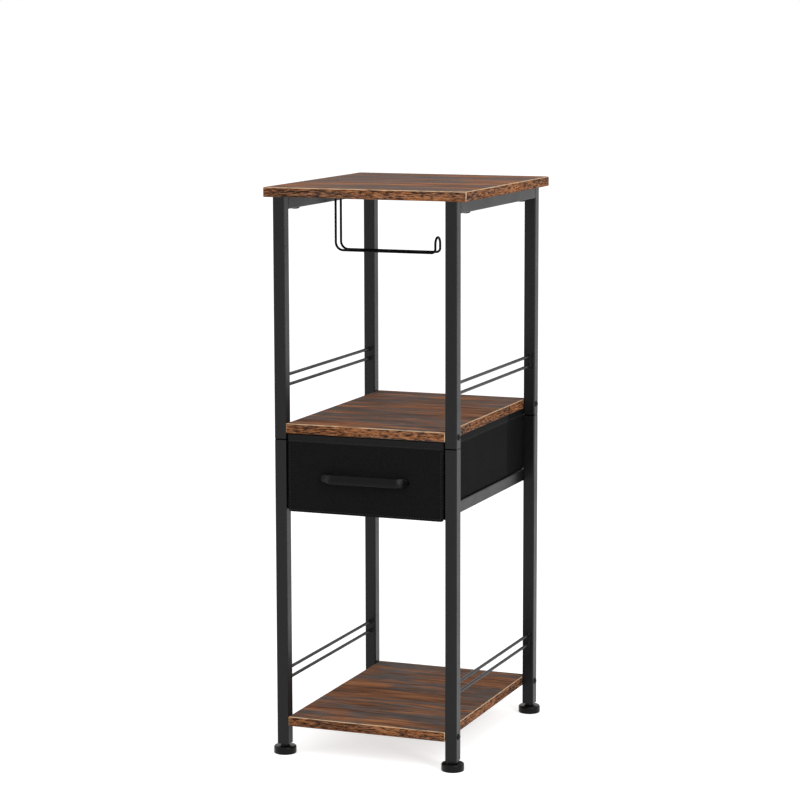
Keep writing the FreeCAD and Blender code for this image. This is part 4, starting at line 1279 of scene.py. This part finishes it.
def pale_floor(colour):
    """Pale floor that keeps the shadow and meets the white surround without a line.

    It is open under the soles, so that a foot shows when it is screwed out.
    """
    glow_strength = 0.66
    floor = Finish("floor_pale", Roughness=0.9, Specular_IOR_Level=0.0)
    cloud = floor.noise(floor.place, 3.0, 2.0)
    floor.feed(Base_Color=floor.shades(colour, cloud, 0.3, 0.7, dark=0.985, light=1.0))
    strength = floor.times(floor.seen_share(), glow_strength)
    glow = floor.add("Emission", {"Color": WHITE, "Strength": strength})
    lit = floor.add("AddShader", {0: floor.shader.outputs[0], 1: glow.outputs[0]})
    middle, corner, radius = sole_places()
    folded = floor.vector("ABSOLUTE", floor.vector("SUBTRACT", floor.place, middle))
    under = floor.math("LESS_THAN", floor.vector("DISTANCE", folded, corner, "Value"), radius)
    clear = floor.add("BsdfTransparent")
    pierced = floor.add("MixShader", {0: under, 1: lit.outputs[0], 2: clear.outputs[0]})
    floor.plug(pierced.outputs[0], floor.tree.nodes["Material Output"].inputs["Surface"])
    return floor.material


class STAND_OT_stage(StandOperator):
    """Set up floor, light and camera"""

    bl_idname = "stand.stage"
    bl_label = "Stage"

    def execute(self, context):
        stage = context.scene.stand_stage
        context.scene.view_settings.view_transform = "Standard"
        white_world(stage.ambient)
        rings = np.array([(radius, 0.0) for radius in (1e-4, 1.0, 4.0, stage.floor_radius)])
        disc = revolved(rings, steps=96)
        mesh = bpy.data.meshes.new("floor")
        mesh.from_pydata(disc.reshape(-1, 3), [], grid_quads(*disc.shape[:2]))
        mesh.materials.append(pale_floor(stage.floor))
        floor = bpy.data.objects.new("floor", mesh)
        context.scene.collection.objects.link(floor)
        for name, (place, width, height) in LAMPS.items():
            add_lamp(name + "_lamp", place, width, height, getattr(stage, name))
        add_camera(stage)
        return {"FINISHED"}


STEPS = (
    STAND_OT_boards, STAND_OT_steel, STAND_OT_welds, STAND_OT_rods, STAND_OT_roll_holder, STAND_OT_screws,
    STAND_OT_feet, STAND_OT_drawer_front, STAND_OT_drawer_box, STAND_OT_stitches, STAND_OT_handle,
    STAND_OT_inner_pieces, STAND_OT_stage,
)
SETTINGS = {
    "stand_colours": StandColours,
    "stand_cloth": StandCloth,
    "stand_hardware": StandHardware,
    "stand_stage": StandStage,
}


class STAND_PT_panel(bpy.types.Panel):
    """The stand's steps and their settings."""

    bl_idname = "STAND_PT_panel"
    bl_label = "Bathroom Stand"
    bl_space_type = "VIEW_3D"
    bl_region_type = "UI"
    bl_category = "Stand"

    def draw(self, context):
        for step in STEPS:
            self.layout.operator(step.bl_idname)
        for group, kind in SETTINGS.items():
            box = self.layout.box()
            for name in kind.__annotations__:
                box.prop(getattr(context.scene, group), name)


def register():
    """Add the settings, the steps and the panel to Blender."""
    for kind in (*SETTINGS.values(), *STEPS, STAND_PT_panel):
        bpy.utils.register_class(kind)
    for name, kind in SETTINGS.items():
        setattr(bpy.types.Scene, name, PointerProperty(type=kind))


def unregister():
    """Take them away again."""
    for name in SETTINGS:
        delattr(bpy.types.Scene, name)
    for kind in (STAND_PT_panel, *reversed(STEPS), *reversed(SETTINGS.values())):
        bpy.utils.unregister_class(kind)


def main():
    """Dress the stand step by step."""
    register()
    for step in STEPS:
        group, name = step.bl_idname.split(".")
        getattr(getattr(bpy.ops, group), name)()


if __name__ == "__main__":
    main()
